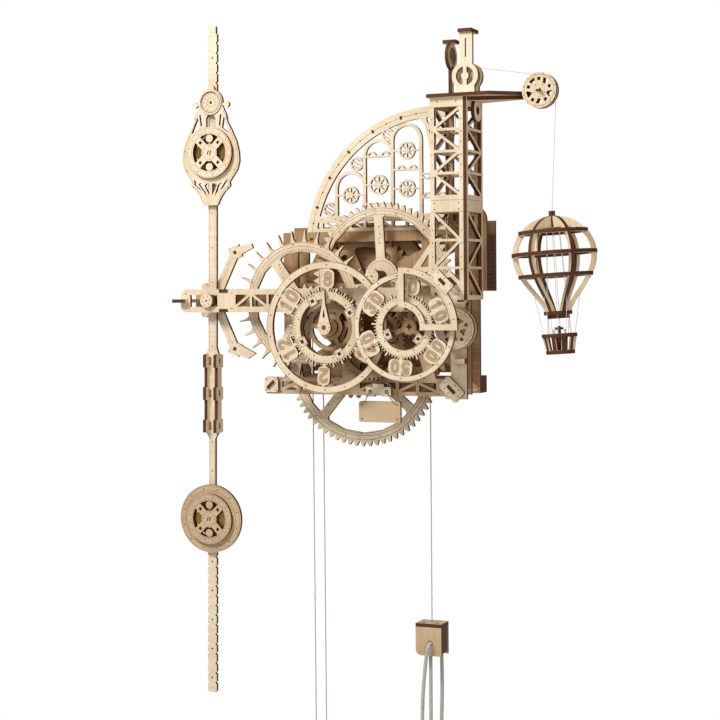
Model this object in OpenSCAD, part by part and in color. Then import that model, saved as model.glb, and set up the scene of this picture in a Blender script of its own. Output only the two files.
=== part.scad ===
// Wall clock model in laser cut plywood: a weight driven wheel train with an escapement, a long
// pendulum with two sliding weights, two turning dials, and a lattice tower whose jib lifts a
// small balloon. Millimetres, X to the right, Y into the wall, Z up.
// The origin is the middle of the two wall screws, on the wall. A depth is measured from the
// wall towards the viewer, so depth d lies at Y = -d.

/* [Sheet and pins] */
// Thickness of every plywood sheet
ply_t = 3; // [2.6:0.1:3.2]
// Radius of the wheel arbors
arbor_r = 2.5; // [2:0.1:2.8]
// Running clearance of an arbor in its bearing hole, on the radius
run_gap = 0.06; // [0.02:0.01:0.1]
// Radius of the collar discs on the arbors
collar_r = 5; // [4.5:0.5:6]

/* [Depths from the wall] */
// Depth of the back frame's rear face, which is the length of the wall spacers
back_d = 14; // [12:0.5:16]
// Free space between a turning wheel and the sheet behind or before it
layer_gap = 3; // [2.8:0.1:3.4]
// Free space on each side of the dial wheels
dial_gap = 2; // [1.8:0.1:2.4]

/* [Wheel train] */
// Tooth module of the train wheels
train_m = 2; // [1.98:0.01:2.01]
// Teeth of the great wheel
great_n = 68; // [68:1:68]
// Teeth of the leaf pinion on the upper arbor
upper_pinion_n = 10; // [10:1:10]
// Teeth of the upper wheel
upper_n = 61; // [61:1:61]
// Teeth of the pinion on the escape arbor
escape_pinion_n = 14; // [14:1:14]
// Teeth of the wheel on the cord arbor
winding_n = 46; // [46:1:46]
// Teeth of the pinion that the cord wheel turns, on the great arbor
winding_pinion_n = 18; // [18:1:18]
// Play between meshed teeth at the pitch circle
gear_play = 0.36; // [0.3:0.02:0.5]
// Radius at the bottom of the cord wheel's groove
cord_groove_r = 54.3; // [53.5:0.1:54.5]

/* [Escapement and pendulum] */
// Pointed teeth of the escape wheel
escape_n = 30; // [28:1:32]
// Radius over the tips of the escape wheel's teeth
escape_tip_r = 62.2; // [61.6:0.1:62.4]
// Lean of the resting pendulum, in degrees, its top to the right
pendulum_lean = 0.8; // [0.5:0.1:1]
// Width of the pendulum rod
rod_w = 8; // [7:0.5:9]
// Height of the rod's top above the pivot
rod_up = 238; // [230:1:245]
// Depth of the rod's bottom below the pivot
rod_down = 346; // [340:1:352]
// Height of the upper weight's wheel above the pivot
upper_weight_z = 128.5; // [125:0.5:132]
// Drop of the bob's centre below the pivot
bob_z = 191.5; // [188:0.5:195]
// Radius of the bob
bob_r = 30; // [28:0.5:32]

/* [Dials] */
// Radius of the hour ring
hour_r = 55; // [54:0.25:55.25]
// Radius of the minute ring
minute_r = 44.4; // [43:0.2:45]
// Tooth module of the dial wheels
dial_m = 1.25; // [1.24:0.01:1.26]
// Turn of the hour dial, in degrees, at the time shown
hour_dial_turn = -3.3; // [-30:0.1:30]
// Turn of the minute dial, in degrees, at the time shown
minute_dial_turn = -6; // [-30:0.1:30]
// Teeth of the pinion on the minute arbor
minute_pinion_n = 16; // [16:1:16]
// Teeth of the intermediate wheel
inter_n = 48; // [48:1:48]
// Teeth of the intermediate pinion
inter_pinion_n = 12; // [12:1:12]
// Teeth of the hour wheel
hour_n = 48; // [48:1:48]
// Teeth of the drive wheel behind the minute dial
minute_n = 36; // [36:1:36]
// Teeth of the wheel that drives it, on the great arbor
drive_n = 22; // [22:1:22]

/* [Tower and jib] */
// Left edge of the tower
tower_x = 55.5; // [55:0.25:56.5]
// Width of the tower
tower_w = 31.5; // [31:0.5:33]
// Height of the tower's top above the wall screws
tower_top = 108; // [106:0.5:110]
// Reach of the jib to the hanging wheel's centre, from the tower's left edge
jib_reach = 89.8; // [88:0.2:91]
// Radius of the jib wheel
jib_wheel_r = 14.2; // [13.5:0.1:14.6]

/* [Balloon] */
// Widest radius of the balloon
balloon_r = 35.6; // [34:0.2:37]
// Height of the balloon from the crown to the bottom ring
balloon_h = 86; // [84:0.5:88]
// Lean of the hanging balloon, in degrees
balloon_lean = 3; // [2:0.5:4]

/* [Hidden] */
birch = [0.93, 0.85, 0.70];
birch_dark = [0.86, 0.74, 0.56];
cord_tone = [0.80, 0.74, 0.62];
rope_tone = [0.92, 0.92, 0.90];
coin_tone = [0.72, 0.58, 0.25];
$fn = 64;
eps = 0.01;

// Layers of the movement, as depths of their rear faces
cord_d = back_d + ply_t + layer_gap;
winding_d = cord_d + 3 * ply_t + 1;
middle_d = winding_d + ply_t + layer_gap;
great_d = middle_d + ply_t + layer_gap;
upper_d = great_d + ply_t + layer_gap;
escape_d = upper_d + ply_t + layer_gap;
drive_d = escape_d + ply_t + layer_gap;
front_d = drive_d + ply_t + layer_gap;
inter_d = front_d + ply_t + dial_gap;
hour_d = inter_d + ply_t + dial_gap;
hour_ring_d = hour_d + 3 * ply_t;
minute_ring_d = hour_ring_d + 2 * ply_t;
rod_d = escape_d + ply_t + 1;
tower_d = inter_d + 4;
sector_d = minute_ring_d + 2 * ply_t;

// Pitch radius of n teeth of module m
function pitch_r(n, m = train_m) = n * m / 2;
// Where a circle of radius ra round a meets one of radius rb round b, on the chosen side
function meet(a, ra, b, rb, side) =
    let (v = b - a, l = norm(v), u = v / l, x = (l * l + ra * ra - rb * rb) / (2 * l))
    a + u * x + side * [-u[1], u[0]] * sqrt(ra * ra - x * x);
function polar(r, a) = [r * cos(a), r * sin(a)];
function heading(a, b) = atan2(b[1] - a[1], b[0] - a[0]);
// Turn of a wheel of n2 teeth that puts it in mesh with one of n1 teeth that stands at turn t1
function mesh_turn(dir, t1, n1, n2) = dir + 180 + (dir - t1) * n1 / n2 + 180 / n2;

// Places of the arbors, as X and Z
upper_at = [0.5, -36];
great_at = upper_at + polar(pitch_r(great_n + upper_pinion_n), -105.6);
escape_at = upper_at + polar(pitch_r(upper_n + escape_pinion_n), 196.9);
cord_at = great_at + polar(pitch_r(winding_n + winding_pinion_n), 90.9);
pivot_at = [-156, -55.3];
hour_at = [-34.7, -78.2];
minute_at = [37.8, -77.8];
drive_m = 2 * norm(minute_at - great_at) / (minute_n + drive_n);
inter_at = meet(minute_at, pitch_r(minute_pinion_n + inter_n, dial_m),
                hour_at, pitch_r(inter_pinion_n + hour_n, dial_m), 1);

// Turns that bring each pair of wheels into mesh
upper_pinion_turn = mesh_turn(heading(great_at, upper_at), 0, great_n, upper_pinion_n);
escape_pinion_turn = mesh_turn(heading(upper_at, escape_at), 0, upper_n, escape_pinion_n);
winding_turn = mesh_turn(heading(great_at, cord_at), 0, winding_pinion_n, winding_n);
minute_turn = mesh_turn(heading(great_at, minute_at), 0, drive_n, minute_n);
inter_turn = mesh_turn(heading(minute_at, inter_at), 0, minute_pinion_n, inter_n);
hour_turn = mesh_turn(heading(inter_at, hour_at), 0, inter_pinion_n, hour_n);

// Frame places
frame_left = -97;
frame_right = 76;
post_w = 14;
beam_top = -45.5;
beam_h = 20;
beam_mid = beam_top - beam_h / 2;
arm_end = -183;
sill_top = -121;
sill_bottom = -135.4;
stretcher_l = 9;
left_stretcher_at = [-94, -127.5];
right_stretcher_at = [70.5, -129.3];
joint_gap = 0.05;
hole_r = arbor_r + run_gap;

// Basic shapes, drawn as seen from the front
module ply(d, t = ply_t) translate([0, -d, 0]) rotate([90, 0, 0]) linear_extrude(t) children();
module at(p) translate([p[0], p[1]]) children();
module pin(p, d0, d1, r) translate([p[0], -d0, p[1]]) rotate([90, 0, 0]) cylinder(h = d1 - d0, r = r);
module span(x0, x1, z0, z1) translate([x0, z0]) square([x1 - x0, z1 - z0]);
module strip(a, b, w) at(a) rotate(heading(a, b)) translate([0, -w / 2]) square([norm(b - a), w]);
module slot(p, a = 0, l = stretcher_l, w = ply_t) at(p) rotate(a) square([l, w], center = true);
module pill(a, b, w) {
    strip(a, b, w);
    at(a) circle(w / 2);
    at(b) circle(w / 2);
}
module rounded(w, h, r) {
    square([w - 2 * r, h], center = true);
    square([w, h - 2 * r], center = true);
    for (x = [-1, 1], z = [-1, 1])
        translate([x * (w / 2 - r), z * (h / 2 - r)]) circle(r);
}
module ring(r_out, r_in) difference() {
    circle(r_out);
    circle(r_in);
}
// Corners of a cut-out as a laser leaves them
module softened(r) offset(r = r, $fn = 20) offset(delta = -r) children();

// Lattice of a truss: a frame with bays whose diagonals lean to and fro
module lattice(w, h, bays, edge, bar, first = 0) {
    bay = (h - 2 * edge) / bays;
    difference() {
        square([w, h]);
        translate([edge, edge]) square([w - 2 * edge, h - 2 * edge]);
    }
    for (i = [0:bays - 1]) {
        z = edge + i * bay;
        if (i > 0)
            translate([edge, z - bar / 2]) square([w - 2 * edge, bar]);
        if ((i + first) % 2 == 0)
            strip([edge - bar / 2, z], [w - edge + bar / 2, z + bay], bar);
        else
            strip([w - edge + bar / 2, z], [edge - bar / 2, z + bay], bar);
    }
}

// Gear outline with involute flanks
pressure = 25;
function involute(r, rb) = let (a = acos(rb / max(r, rb))) tan(a) * 180 / PI - a;
function half_tooth(r, n, m) =
    let (rp = pitch_r(n, m), rb = rp * cos(pressure))
    (PI * m / 2 - gear_play / 2) / (2 * rp) * 180 / PI + involute(rp, rb) - involute(r, rb);
module gear(n, m = train_m) {
    rp = pitch_r(n, m);
    root = rp - 1.2 * m;
    radii = [root, max(rp * cos(pressure), (root + rp) / 2), rp, rp + 0.9 * m];
    polygon([for (i = [0:n - 1], k = [0:7])
        let (r = radii[k < 4 ? k : 7 - k], side = k < 4 ? -1 : 1)
        polar(r, 360 * i / n + side * half_tooth(r, n, m))]);
}
// Windows between the spokes of a wheel
module windows(rim_in, hub, spokes, w, t0) softened(2.5) difference() {
    circle(rim_in);
    circle(hub);
    for (i = [0:spokes - 1])
        strip([0, 0], polar(rim_in + 2, t0 + 360 * i / spokes), w);
}
// Arbor with collars, each given as two depths
module arbor(p, d0, d1, collars = []) {
    pin(p, d0, d1, arbor_r);
    for (c = collars)
        pin(p, c[0], c[1], collar_r);
}

// Wall side of the frame
module wall_spacers() color(birch_dark) {
    difference() {
        ply(0, back_d) span(-52, 52, -8, 8);
        wall_holes();
    }
    ply(0, back_d) span(frame_left, frame_left + post_w, sill_bottom, sill_top);
    ply(0, back_d) span(frame_right - post_w, frame_right, sill_bottom, sill_top);
}
wall_hole_x = 40;
wall_hole_r = 2.25;
module wall_holes() {
    for (x = [-wall_hole_x, wall_hole_x])
        pin([x, 0], -1, back_d + ply_t + 1, wall_hole_r);
}
module posts(top) {
    span(frame_left, frame_left + post_w, sill_bottom, top);
    span(frame_right - post_w, frame_right, sill_bottom, top);
}
module rail(z0, z1) span(frame_left + post_w + joint_gap, frame_right - post_w - joint_gap, z0, z1);
module stretcher_slots() {
    slot(left_stretcher_at, 45);
    slot(right_stretcher_at, -45);
}
module back_frame() color(birch_dark) difference() {
    union() {
        back_plate();
        // Peg that the cord is tied to
        pin(peg_at, back_d + ply_t, cord_d + 2 * ply_t, peg_r);
    }
    wall_holes();
}
module back_plate() ply(back_d) difference() {
    union() {
        posts(8);
        rail(-8, 8);
        rail(cord_at[1] - 8, cord_at[1] + 8);
        rail(great_at[1] - 7, great_at[1] + 7);
        rail(sill_bottom, sill_top);
    }
    stretcher_slots();
    at(cord_at) circle(hole_r);
    at(great_at) circle(hole_r);
}
module middle_frame() color(birch_dark) ply(middle_d) difference() {
    union() {
        posts(arch_foot);
        span(frame_right - post_w, frame_right, arch_foot - 1, 22);
        rail(sill_bottom, sill_top);
        rail(cord_at[1] - 8, cord_at[1] + 6);
        rail(arch_foot - 9, arch_foot);
        span(32, 42, sill_top - 1, arch_foot - 1);
        strip(upper_at, [frame_right - post_w, -8], 14);
        at(escape_at) circle(8);
        at(upper_at) circle(8);
        span(great_at[0] - 12, great_at[0] + 12, sill_top - 1, cord_at[1]);
    }
    stretcher_slots();
    at(cord_at) circle(hole_r);
    at(upper_at) circle(hole_r);
    at(escape_at) circle(hole_r);
    at(great_at) circle(arbor_r + 1.5);
}
// Upright strips that tie the frames together, and the spacers of the pendulum's arm
module stretchers() color(birch) {
    ply(back_d, front_d + 2 * ply_t + 1 - back_d) {
        slot(left_stretcher_at, 45);
        slot(right_stretcher_at, -45);
    }
    for (z = [beam_top - ply_t, beam_top - beam_h])
        ply(middle_d + 2 * ply_t, front_d + ply_t + 0.5 - middle_d - 2 * ply_t) span(-145, -136.4, z, z + ply_t);
    ply(middle_d + ply_t, front_d + ply_t + 2 - middle_d) span(-189, -176, beam_mid - ply_t / 2, beam_mid + ply_t / 2);
}

// Front of the frame
arm_slot_x0 = -173.6;
arm_slot_x1 = -146.8;
module front_beam() color(birch) ply(front_d) difference() {
    union() {
        difference() {
            union() {
                span(arm_end + 6, frame_right - 7 - joint_gap, beam_top - beam_h, beam_top);
                translate([arm_end + 8, beam_mid]) rounded(16, beam_h, 6);
            }
            span(arm_slot_x0, arm_slot_x1, beam_mid - 5.2, beam_mid + 5.2);
            translate([-129, beam_mid - 5.2]) difference() {
                square([46, 10.4]);
                for (i = [0:2])
                    strip([i * 16, i % 2 * 10.4], [i * 16 + 14, 10.4 - i % 2 * 10.4], 2.2);
                for (i = [1:2])
                    translate([i * 16 - 2.2, 0]) square([2.2, 10.4]);
            }
        }
        at(pivot_at) circle(6);
        at(upper_at) circle(6);
        strip(upper_at, upper_at - [0, 12], 7);
    }
    span(-190, -176, beam_mid - ply_t / 2 - 0.02, beam_mid + ply_t / 2 + 0.02);
    for (z = [beam_top - ply_t - 0.02, beam_top - beam_h - 1])
        span(-145.02, -136.38, z, z + ply_t + 1.02);
    at(pivot_at) circle(hole_r);
    at(upper_at) circle(hole_r);
    at(escape_at) circle(hole_r);
}
module front_lower() color(birch) ply(front_d) difference() {
    union() {
        difference() {
            span(frame_left - 3, frame_right - 12, sill_bottom, sill_top);
            for (i = [0:7])
                translate([frame_left + 12 + i * 18, sill_bottom + 3.5]) lattice_hole(15, 7.4, i % 2);
        }
        strip(hour_at, great_at, 10);
        strip(hour_at, [hour_at[0], beam_top - beam_h], 12);
        strip(great_at, [great_at[0], sill_bottom], 16);
        strip(great_at, inter_at, 9);
        strip(inter_at, minute_at, 9);
        strip(minute_at, [minute_at[0] + 6, beam_top - beam_h], 10);
        strip(minute_at, [minute_at[0] + 14, sill_top - 2], 9);
        at(hour_at) circle(8);
        at(great_at) circle(8);
        at(inter_at) circle(7);
        at(minute_at) circle(9);
    }
    span(frame_left - 10, frame_right + 10, beam_top - beam_h, beam_top + 10);
    stretcher_slots();
    for (p = [great_at, minute_at])
        at(p) circle(hole_r);
    for (p = [hour_at, inter_at])
        at(p) circle(arbor_r);
}
// One bay of the sill: a slot crossed by a diagonal
module lattice_hole(w, h, flip) difference() {
    square([w, h]);
    strip([-1, flip * h], [w + 1, h - flip * h], 2.4);
}
module right_column() color(birch) {
    ply(front_d) difference() {
        union() {
            span(frame_right - 7, frame_right + 10.5, sill_bottom - 2, -58);
            span(frame_right - 12 + joint_gap, frame_right + 10.5, sill_bottom - 2, sill_top + 2);
            span(frame_right - 7, tower_x + tower_w - ply_t - joint_gap, -59, -36);
        }
        span(frame_right - 1, frame_right + 5, -58, -44);
        slot(right_stretcher_at, -45);
        at(drum_at) circle(hole_r);
    }
    ply(front_d + ply_t, 6) span(frame_right - 3, frame_right + 7, -108, -104);
}
module corner_plates() color(birch) {
    ply(front_d + ply_t) difference() {
        at(left_stretcher_at) rounded(13, 13, 2.5);
        slot(left_stretcher_at, 45);
    }
    ply(front_d + ply_t) difference() {
        at(right_stretcher_at) rotate(-45) rounded(20, 12.5, 2);
        slot(right_stretcher_at, -45);
    }
    // Plate and tenon that carry the fixed quadrant on the tower
    ply(sector_d + ply_t) difference() {
        at(quadrant_tenon_at) rotate(-45) rounded(19, 9.5, 1);
        slot(quadrant_tenon_at, -45, 7);
    }
    ply(tower_d, sector_d + 2 * ply_t - tower_d) slot(quadrant_tenon_at, -45, 7);
}
module arm_rear() color(birch_dark) ply(middle_d + ply_t) difference() {
    union() {
        span(arm_end + 6, frame_left + post_w, beam_top - beam_h, beam_top);
        translate([arm_end + 8, beam_mid]) rounded(16, beam_h, 6);
    }
    span(-190, -176, beam_mid - ply_t / 2 - 0.02, beam_mid + ply_t / 2 + 0.02);
    at(pivot_at) circle(hole_r);
}
// Rear carrier of the minute arbor, on the right column and the sill
module minute_bridge() color(birch_dark) {
    ply(escape_d) difference() {
        union() {
            at(minute_at) circle(8);
            strip(minute_at, [minute_at[0], sill_bottom], 10);
            span(minute_at[0] - 5, frame_right - post_w, sill_bottom, sill_bottom + 12);
        }
        at(minute_at) circle(hole_r);
    }
    ply(escape_d + ply_t, front_d - escape_d - ply_t)
        span(minute_at[0] - 5, minute_at[0] + 15, sill_bottom, sill_bottom + 10);
    ply(middle_d + ply_t, escape_d - middle_d - ply_t)
        span(frame_right - post_w - 8, frame_right - post_w, sill_bottom, sill_bottom + 12);
}

// Arch window behind the wheels
arch_at = [44, -13];
arch_r = 119;
arch_band = 9;
arch_foot = 3;
module in_arch(r) intersection() {
    at(arch_at) circle(r, $fn = 160);
    span(arch_at[0] - r, tower_x + 4, arch_foot, arch_at[1] + r);
}
// Columns of the window, each with its X and the height where its arches spring
arch_columns = [[-46, 40], [-19.6, 66.7], [6, 78.6], [32, 78.6]];
// Springing height of each light's round head
arch_springs = [40, 66.7, 78.6];
module arch_outline() {
    difference() {
        in_arch(arch_r);
        in_arch(arch_r - arch_band);
    }
    intersection() {
        in_arch(arch_r - 1);
        union() {
            span(arch_at[0] - arch_r, tower_x + 4, arch_foot, arch_foot + 3);
            span(arch_at[0] - arch_r, tower_x + 4, 11, 16.5);
            for (x = [-60, -46, -33, -19.6, -7, 6, 19, 32, 45])
                span(x - 1.2, x + 1.2, arch_foot + 1, 12);
            for (x = [-59, -32, -6, 20])
                strip([x, 12], [x + 12, 5], 1.8);
            for (c = arch_columns)
                span(c[0] - 1.4, c[0] + 1.4, 12, c[1]);
            for (i = [0:2])
                arch_head(arch_columns[i][0], arch_columns[i + 1][0], arch_springs[i]);
            strip(arch_at + polar(arch_r - 1, 98.7), [50, 78], 3);
            strip(arch_at + polar(arch_r - 1, 94.8), [44, 60], 2.6);
        }
    }
}
// Round head of one light, between the columns at x0 and x1
module arch_head(x0, x1, z) {
    r = (x1 - x0) / 2;
    translate([x0 + r, z]) intersection() {
        ring(r + 1.4, r - 1.4);
        translate([-r - 2, -0.1]) square([2 * r + 4, r + 2]);
    }
}
module arch_window() color(birch) ply(middle_d) arch_outline();
// Fretwork in the lights: rosettes on bars, with scrolls above and below, and striped discs outside
module arch_fretwork() color(birch) ply(middle_d) intersection() {
    in_arch(arch_r - arch_band + eps);
    difference() {
        union() {
            for (d = [[-52.8, 22.2, 6], [-27, 60.4, 6], [1.9, 84, 5.4]])
                at(d) striped_disc(d[2]);
            fret_light(-32.8, 34, 7.5);
            fret_light(-6.8, 42, 8.5);
            fret_light(19.2, 38, 7.5);
            fret_light(19.2, 70, 7.5);
            for (c = [[-6.8, 66, 7, 0], [-6.8, 26, 6, 180], [19.2, 54, 6, 0], [44, 50, 8, 180], [44, 30, 7, 0]])
                at(c) rotate(c[3]) scroll(c[2]);
        }
        arch_outline();
    }
}
// Rosette with a bar on each side, as wide as its light
module fret_light(x, z, r) translate([x, z]) {
    ring(r, r - 1.6);
    circle(r * 0.34);
    for (a = [0:45:135])
        rotate(a) square([2 * r - 1.5, 1.2], center = true);
    for (s = [-1, 1])
        translate([s * (r + 12.6) / 2, 0]) square([13.4 - r, 1.6], center = true);
}
// Pair of hooks that curl outwards from a short bar
module scroll(r) {
    square([26, 1.5], center = true);
    for (s = [-1, 1])
        translate([s * r * 0.9, 0]) intersection() {
            ring(r * 0.62, r * 0.62 - 1.5);
            translate([-r, 0]) square(2 * r);
        }
}
module striped_disc(r) {
    ring(r, r - 1.4);
    for (x = [-0.5, 0, 0.5])
        rotate(60) translate([x * r - 0.6, -r * sqrt(1 - x * x) + 0.5]) square([1.2, 2 * r * sqrt(1 - x * x) - 1]);
}

// Lattice tower
tower_back_d = middle_d + ply_t;
tower_depth = tower_d + ply_t - tower_back_d;
tower_foot = -56;
band_low = 15;
band_high = 25.5;
band_top = tower_top - 8;
stile = 3.6;
module tower_face(foot, w, first) {
    translate([0, band_high]) lattice(w, band_top - band_high + stile, 4, stile, 2.2, first);
    translate([0, band_low]) square([w, band_high - band_low]);
    translate([0, foot]) lattice(w, band_low - foot + stile, round((band_low - foot) / 22), stile, 2.2, first);
    translate([0, band_top]) square([w, tower_top - band_top]);
}
module tower_front() color(birch) ply(tower_d) {
    translate([tower_x, 0]) tower_face(tower_foot, tower_w - ply_t, 1);
    // Gusset towards the dials
    difference() {
        polygon([[tower_x + 1, -8], [tower_x + 1, -44], [tower_x - 26, -44], [tower_x - 24, -40]]);
        polygon([[tower_x - 2, -18], [tower_x - 2, -29], [tower_x - 9, -29]]);
        polygon([[tower_x - 3, -32], [tower_x - 3, -41], [tower_x - 12, -41]]);
        polygon([[tower_x - 11, -31], [tower_x - 14.5, -41], [tower_x - 18.5, -41]]);
    }
    // Pads that take the quadrant's tenon and tie the foot to the right column
    difference() {
        at(quadrant_tenon_at) rotate(-45) rounded(17, 9, 1);
        slot(quadrant_tenon_at, -45, 7);
    }
}
tower_side_x = tower_x + tower_w;
side_ring_d = (tower_back_d + tower_d + ply_t) / 2;
side_ring_r = 9;
module tower_back() color(birch_dark) ply(tower_back_d)
    translate([tower_x + ply_t + joint_gap, 0])
        tower_face(4, tower_w - 2 * ply_t - 2 * joint_gap, 0);
// A side of the tower with its left face at x, its depth towards the viewer
module tower_side(x, foot, d0, d1, first) translate([x + ply_t, -d0, 0]) rotate([90, 0, -90])
    linear_extrude(ply_t) tower_face(foot, d1 - d0, first);
module tower_sides() color(birch) {
    tower_side(tower_side_x - ply_t, tower_foot, tower_back_d, tower_d + ply_t, 0);
    tower_side(tower_x, -2, tower_back_d, tower_d, 1);
    // Ring on the collar
    translate([tower_side_x, -side_ring_d, band_top - 2]) rotate([0, 90, 0]) difference() {
        cylinder(h = ply_t, r = side_ring_r);
        translate([0, 0, -1]) cylinder(h = ply_t + 2, r = 3.5);
    }
}

// Jib on top of the tower, with the cheek that carries its wheel
jib_at = [tower_x + jib_reach, tower_top + 2.6];
jib_d = rod_d + 5;
module jib() color(birch_dark) {
    translate([0, 0, tower_top]) linear_extrude(ply_t) difference() {
        polygon([[tower_x - 2, 2 - tower_back_d], [tower_x - 2, -tower_d - 6], [tower_side_x + 20, -tower_d - 6],
            [jib_at[0] - 12, 4 - jib_d], [jib_at[0] - 12, 6 - jib_d + 6], [tower_side_x + 6, 2 - tower_back_d]]);
        translate([pulley_at[0] - thread_run - 1, -front_d - 0.6]) circle(1.3);
    }
    translate([0, 0, band_top - 1]) linear_extrude(ply_t) difference() {
        polygon([[tower_side_x + joint_gap, -tower_back_d - 8], [tower_side_x + joint_gap, -tower_d - 1],
            [jib_at[0] - 14, 2 - jib_d], [jib_at[0] - 14, 5 - jib_d]]);
        translate([tower_side_x - 1, -side_ring_d - side_ring_r - joint_gap])
            square([1 + ply_t + joint_gap, 2 * side_ring_r + 2 * joint_gap]);
    }
    ply(jib_d - 2 * ply_t) difference() {
        union() {
            pill([jib_at[0] - 30, tower_top - 3.4], [jib_at[0] - 14, tower_top - 3.4], 6.7);
            pill([jib_at[0] - 16, tower_top - 3.4], jib_at, 6.4);
        }
    }
    pin(jib_at, jib_d - ply_t, jib_d + 3 * ply_t + 1, 1.6);
}

// Bracket of the top pulley, a ring plate on each side of it
pulley_at = [tower_x + 29, tower_top + 16.9];
pulley_d = front_d - 2;
pulley_r = 9.5;
module pulley_plate(post) {
    difference() {
        union() {
            at(pulley_at) circle(11.2);
            if (post)
                at(pulley_at) translate([-4.5, 8]) square([11, 27]);
            at(pulley_at) translate([-8, -pulley_at[1] + tower_top + ply_t]) square([16, 6]);
        }
        at(pulley_at) circle(7.6);
        if (post)
            at(pulley_at) translate([0.2, 15]) square([1.8, 15]);
    }
    at(pulley_at) difference() {
        union() {
            translate([-1.5, -9]) square([3, 18]);
            circle(3.2);
        }
    }
}
module pulley_bracket() color(birch) {
    ply(pulley_d + 2 * ply_t + 1) pulley_plate(true);
    ply(pulley_d - ply_t - 1) pulley_plate(false);
    translate([pulley_at[0] - 7.5, -pulley_d - 3 * ply_t - 3, pulley_at[1] + 35]) cube([19, 18, ply_t]);
    pin(pulley_at, pulley_d - ply_t, pulley_d + 2 * ply_t + 1, 1.6);
}
module pulley(r, bore, t) rotate([90, 0, 0]) difference() {
    union() {
        cylinder(h = t / 3, r = r);
        cylinder(h = t, r = r - 1.8);
        translate([0, 0, 2 * t / 3]) cylinder(h = t / 3, r = r);
    }
    translate([0, 0, -1]) cylinder(h = t + 2, r = bore);
}
module top_pulley() color(birch) translate([pulley_at[0], -pulley_d + 0.5, pulley_at[1]])
    pulley(pulley_r, 1.6 + run_gap, 2 * ply_t);
module jib_wheel() color(birch) difference() {
    union() {
        ply(jib_d - 2) at(jib_at) circle(jib_wheel_r);
        ply(jib_d - 2 + ply_t, 2) at(jib_at) circle(jib_wheel_r - 2.4);
        ply(jib_d + ply_t) at(jib_at) circle(jib_wheel_r);
    }
    ply(jib_d - 3, 3 * ply_t + 1) at(jib_at) {
        circle(1.6 + run_gap);
        for (i = [0:4]) {
            rotate(90 + 72 * i) translate([9.2, 0]) square(2.6, center = true);
            rotate(54 + 72 * i) translate([8.6, 0]) softened(0.6) polygon([[-2, -1], [-2, 1], [2, 3], [2, -3]]);
        }
    }
}
// Post with a coin in its head, edge on to the viewer
coin_post_at = [tower_x + 8, tower_top + 32.5];
coin_post_d = tower_back_d + 10;
module coin_post() color(birch_dark) {
    translate([coin_post_at[0] + 1.5, -coin_post_d, coin_post_at[1]]) rotate([0, 90, 0]) difference() {
        cylinder(h = 7.5, r = 10);
        translate([0, 0, 2.5]) cylinder(h = 6, r = 6.5);
    }
    translate([coin_post_at[0] - 1.5, -coin_post_d - 4, tower_top + ply_t]) cube([ply_t, 8, coin_post_at[1] - tower_top + 7]);
    translate([coin_post_at[0] - 3.5, -coin_post_d - 5, coin_post_at[1] + 10 + eps]) cube([13, 14, ply_t]);
    translate([coin_post_at[0] - 1.5 - 3, -coin_post_d - 5, tower_top + ply_t]) cube([9, 10, 2.5]);
}

// Cover of the cord wheel's right side, with a slatted wall that bends round the corner
cover_x = frame_right + joint_gap;
cover_w = 14;
module side_cover() color(birch) {
    ply(middle_d) difference() {
        union() {
            span(cover_x, cover_x + cover_w, -49, 10);
            translate([cover_x + 2, 10]) circle(cover_w - 2);
        }
        span(cover_x - 30, cover_x, -60, 30);
        translate([cover_x + 7, -20]) square([4, 18], center = true);
    }
    ply(back_d) span(cover_x, cover_x + cover_w, -49, 10);
    color([0.42, 0.24, 0.12]) slat_wall();
}
slat_pitch = 3.4;
module slat_wall() translate([cover_x + cover_w - ply_t, 0, 0]) {
    for (i = [0:13])
        translate([0, -middle_d + 0.02, -48.5 + i * slat_pitch]) cube([ply_t, middle_d - back_d - ply_t - 0.04, slat_pitch - 0.9]);
    for (y = [-middle_d + 0.02, -(middle_d + back_d + ply_t) / 2 - 1.25, -back_d - ply_t - 2.52])
        translate([0.4, y, -48.5]) cube([ply_t - 0.8, 2.5, 13 * slat_pitch + 2]);
}

// Fixed parts in front of the dials
quadrant_r = 48.4;
quadrant_tenon_at = minute_at + polar(quadrant_r + 3.4, 45);
module sector_frame() color(birch) ply(sector_d) difference() {
    union() {
        at(minute_at) intersection() {
            union() {
                ring(quadrant_r, quadrant_r - 4.6);
                ring(20.8, 16.2);
            }
            translate([-2.4, -2.4]) square(60);
        }
        span(minute_at[0] - 2.4, minute_at[0] + 2.4, minute_at[1] + 18, minute_at[1] + quadrant_r);
        span(minute_at[0] + 18, minute_at[0] + quadrant_r, minute_at[1] - 2.4, minute_at[1] + 2.4);
        at(quadrant_tenon_at) rotate(-45) rounded(15, 7.6, 1);
    }
    slot(quadrant_tenon_at, -45, 7);
}
// Fixed posts that the hour wheel and the intermediate wheel turn on
pointer_d = hour_ring_d + ply_t + 1;
module dial_posts() color(birch_dark) {
    pin(hour_at, front_d, pointer_d + ply_t, arbor_r);
    pin(hour_at, front_d + ply_t, hour_d - 0.4, collar_r);
    pin(inter_at, front_d, hour_d + ply_t + 1, arbor_r);
    pin(inter_at, front_d + ply_t, inter_d - 0.4, collar_r);
    pin(inter_at, hour_d + ply_t + 0.4, hour_d + ply_t + 2, 4);
}
module hour_pointer() color(birch) ply(pointer_d) difference() {
    union() {
        at(hour_at) circle(6);
        at(hour_at) polygon([polar(6, 155), polar(6, 25), [1.3, 19], [0.5, 31], [-0.5, 31], [-1.3, 19]]);
    }
    at(hour_at) circle(arbor_r);
    at(hour_at) polygon([[-1, 8.4], [1, 8.4], [0.3, 15], [-0.3, 15]]);
}
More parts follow.
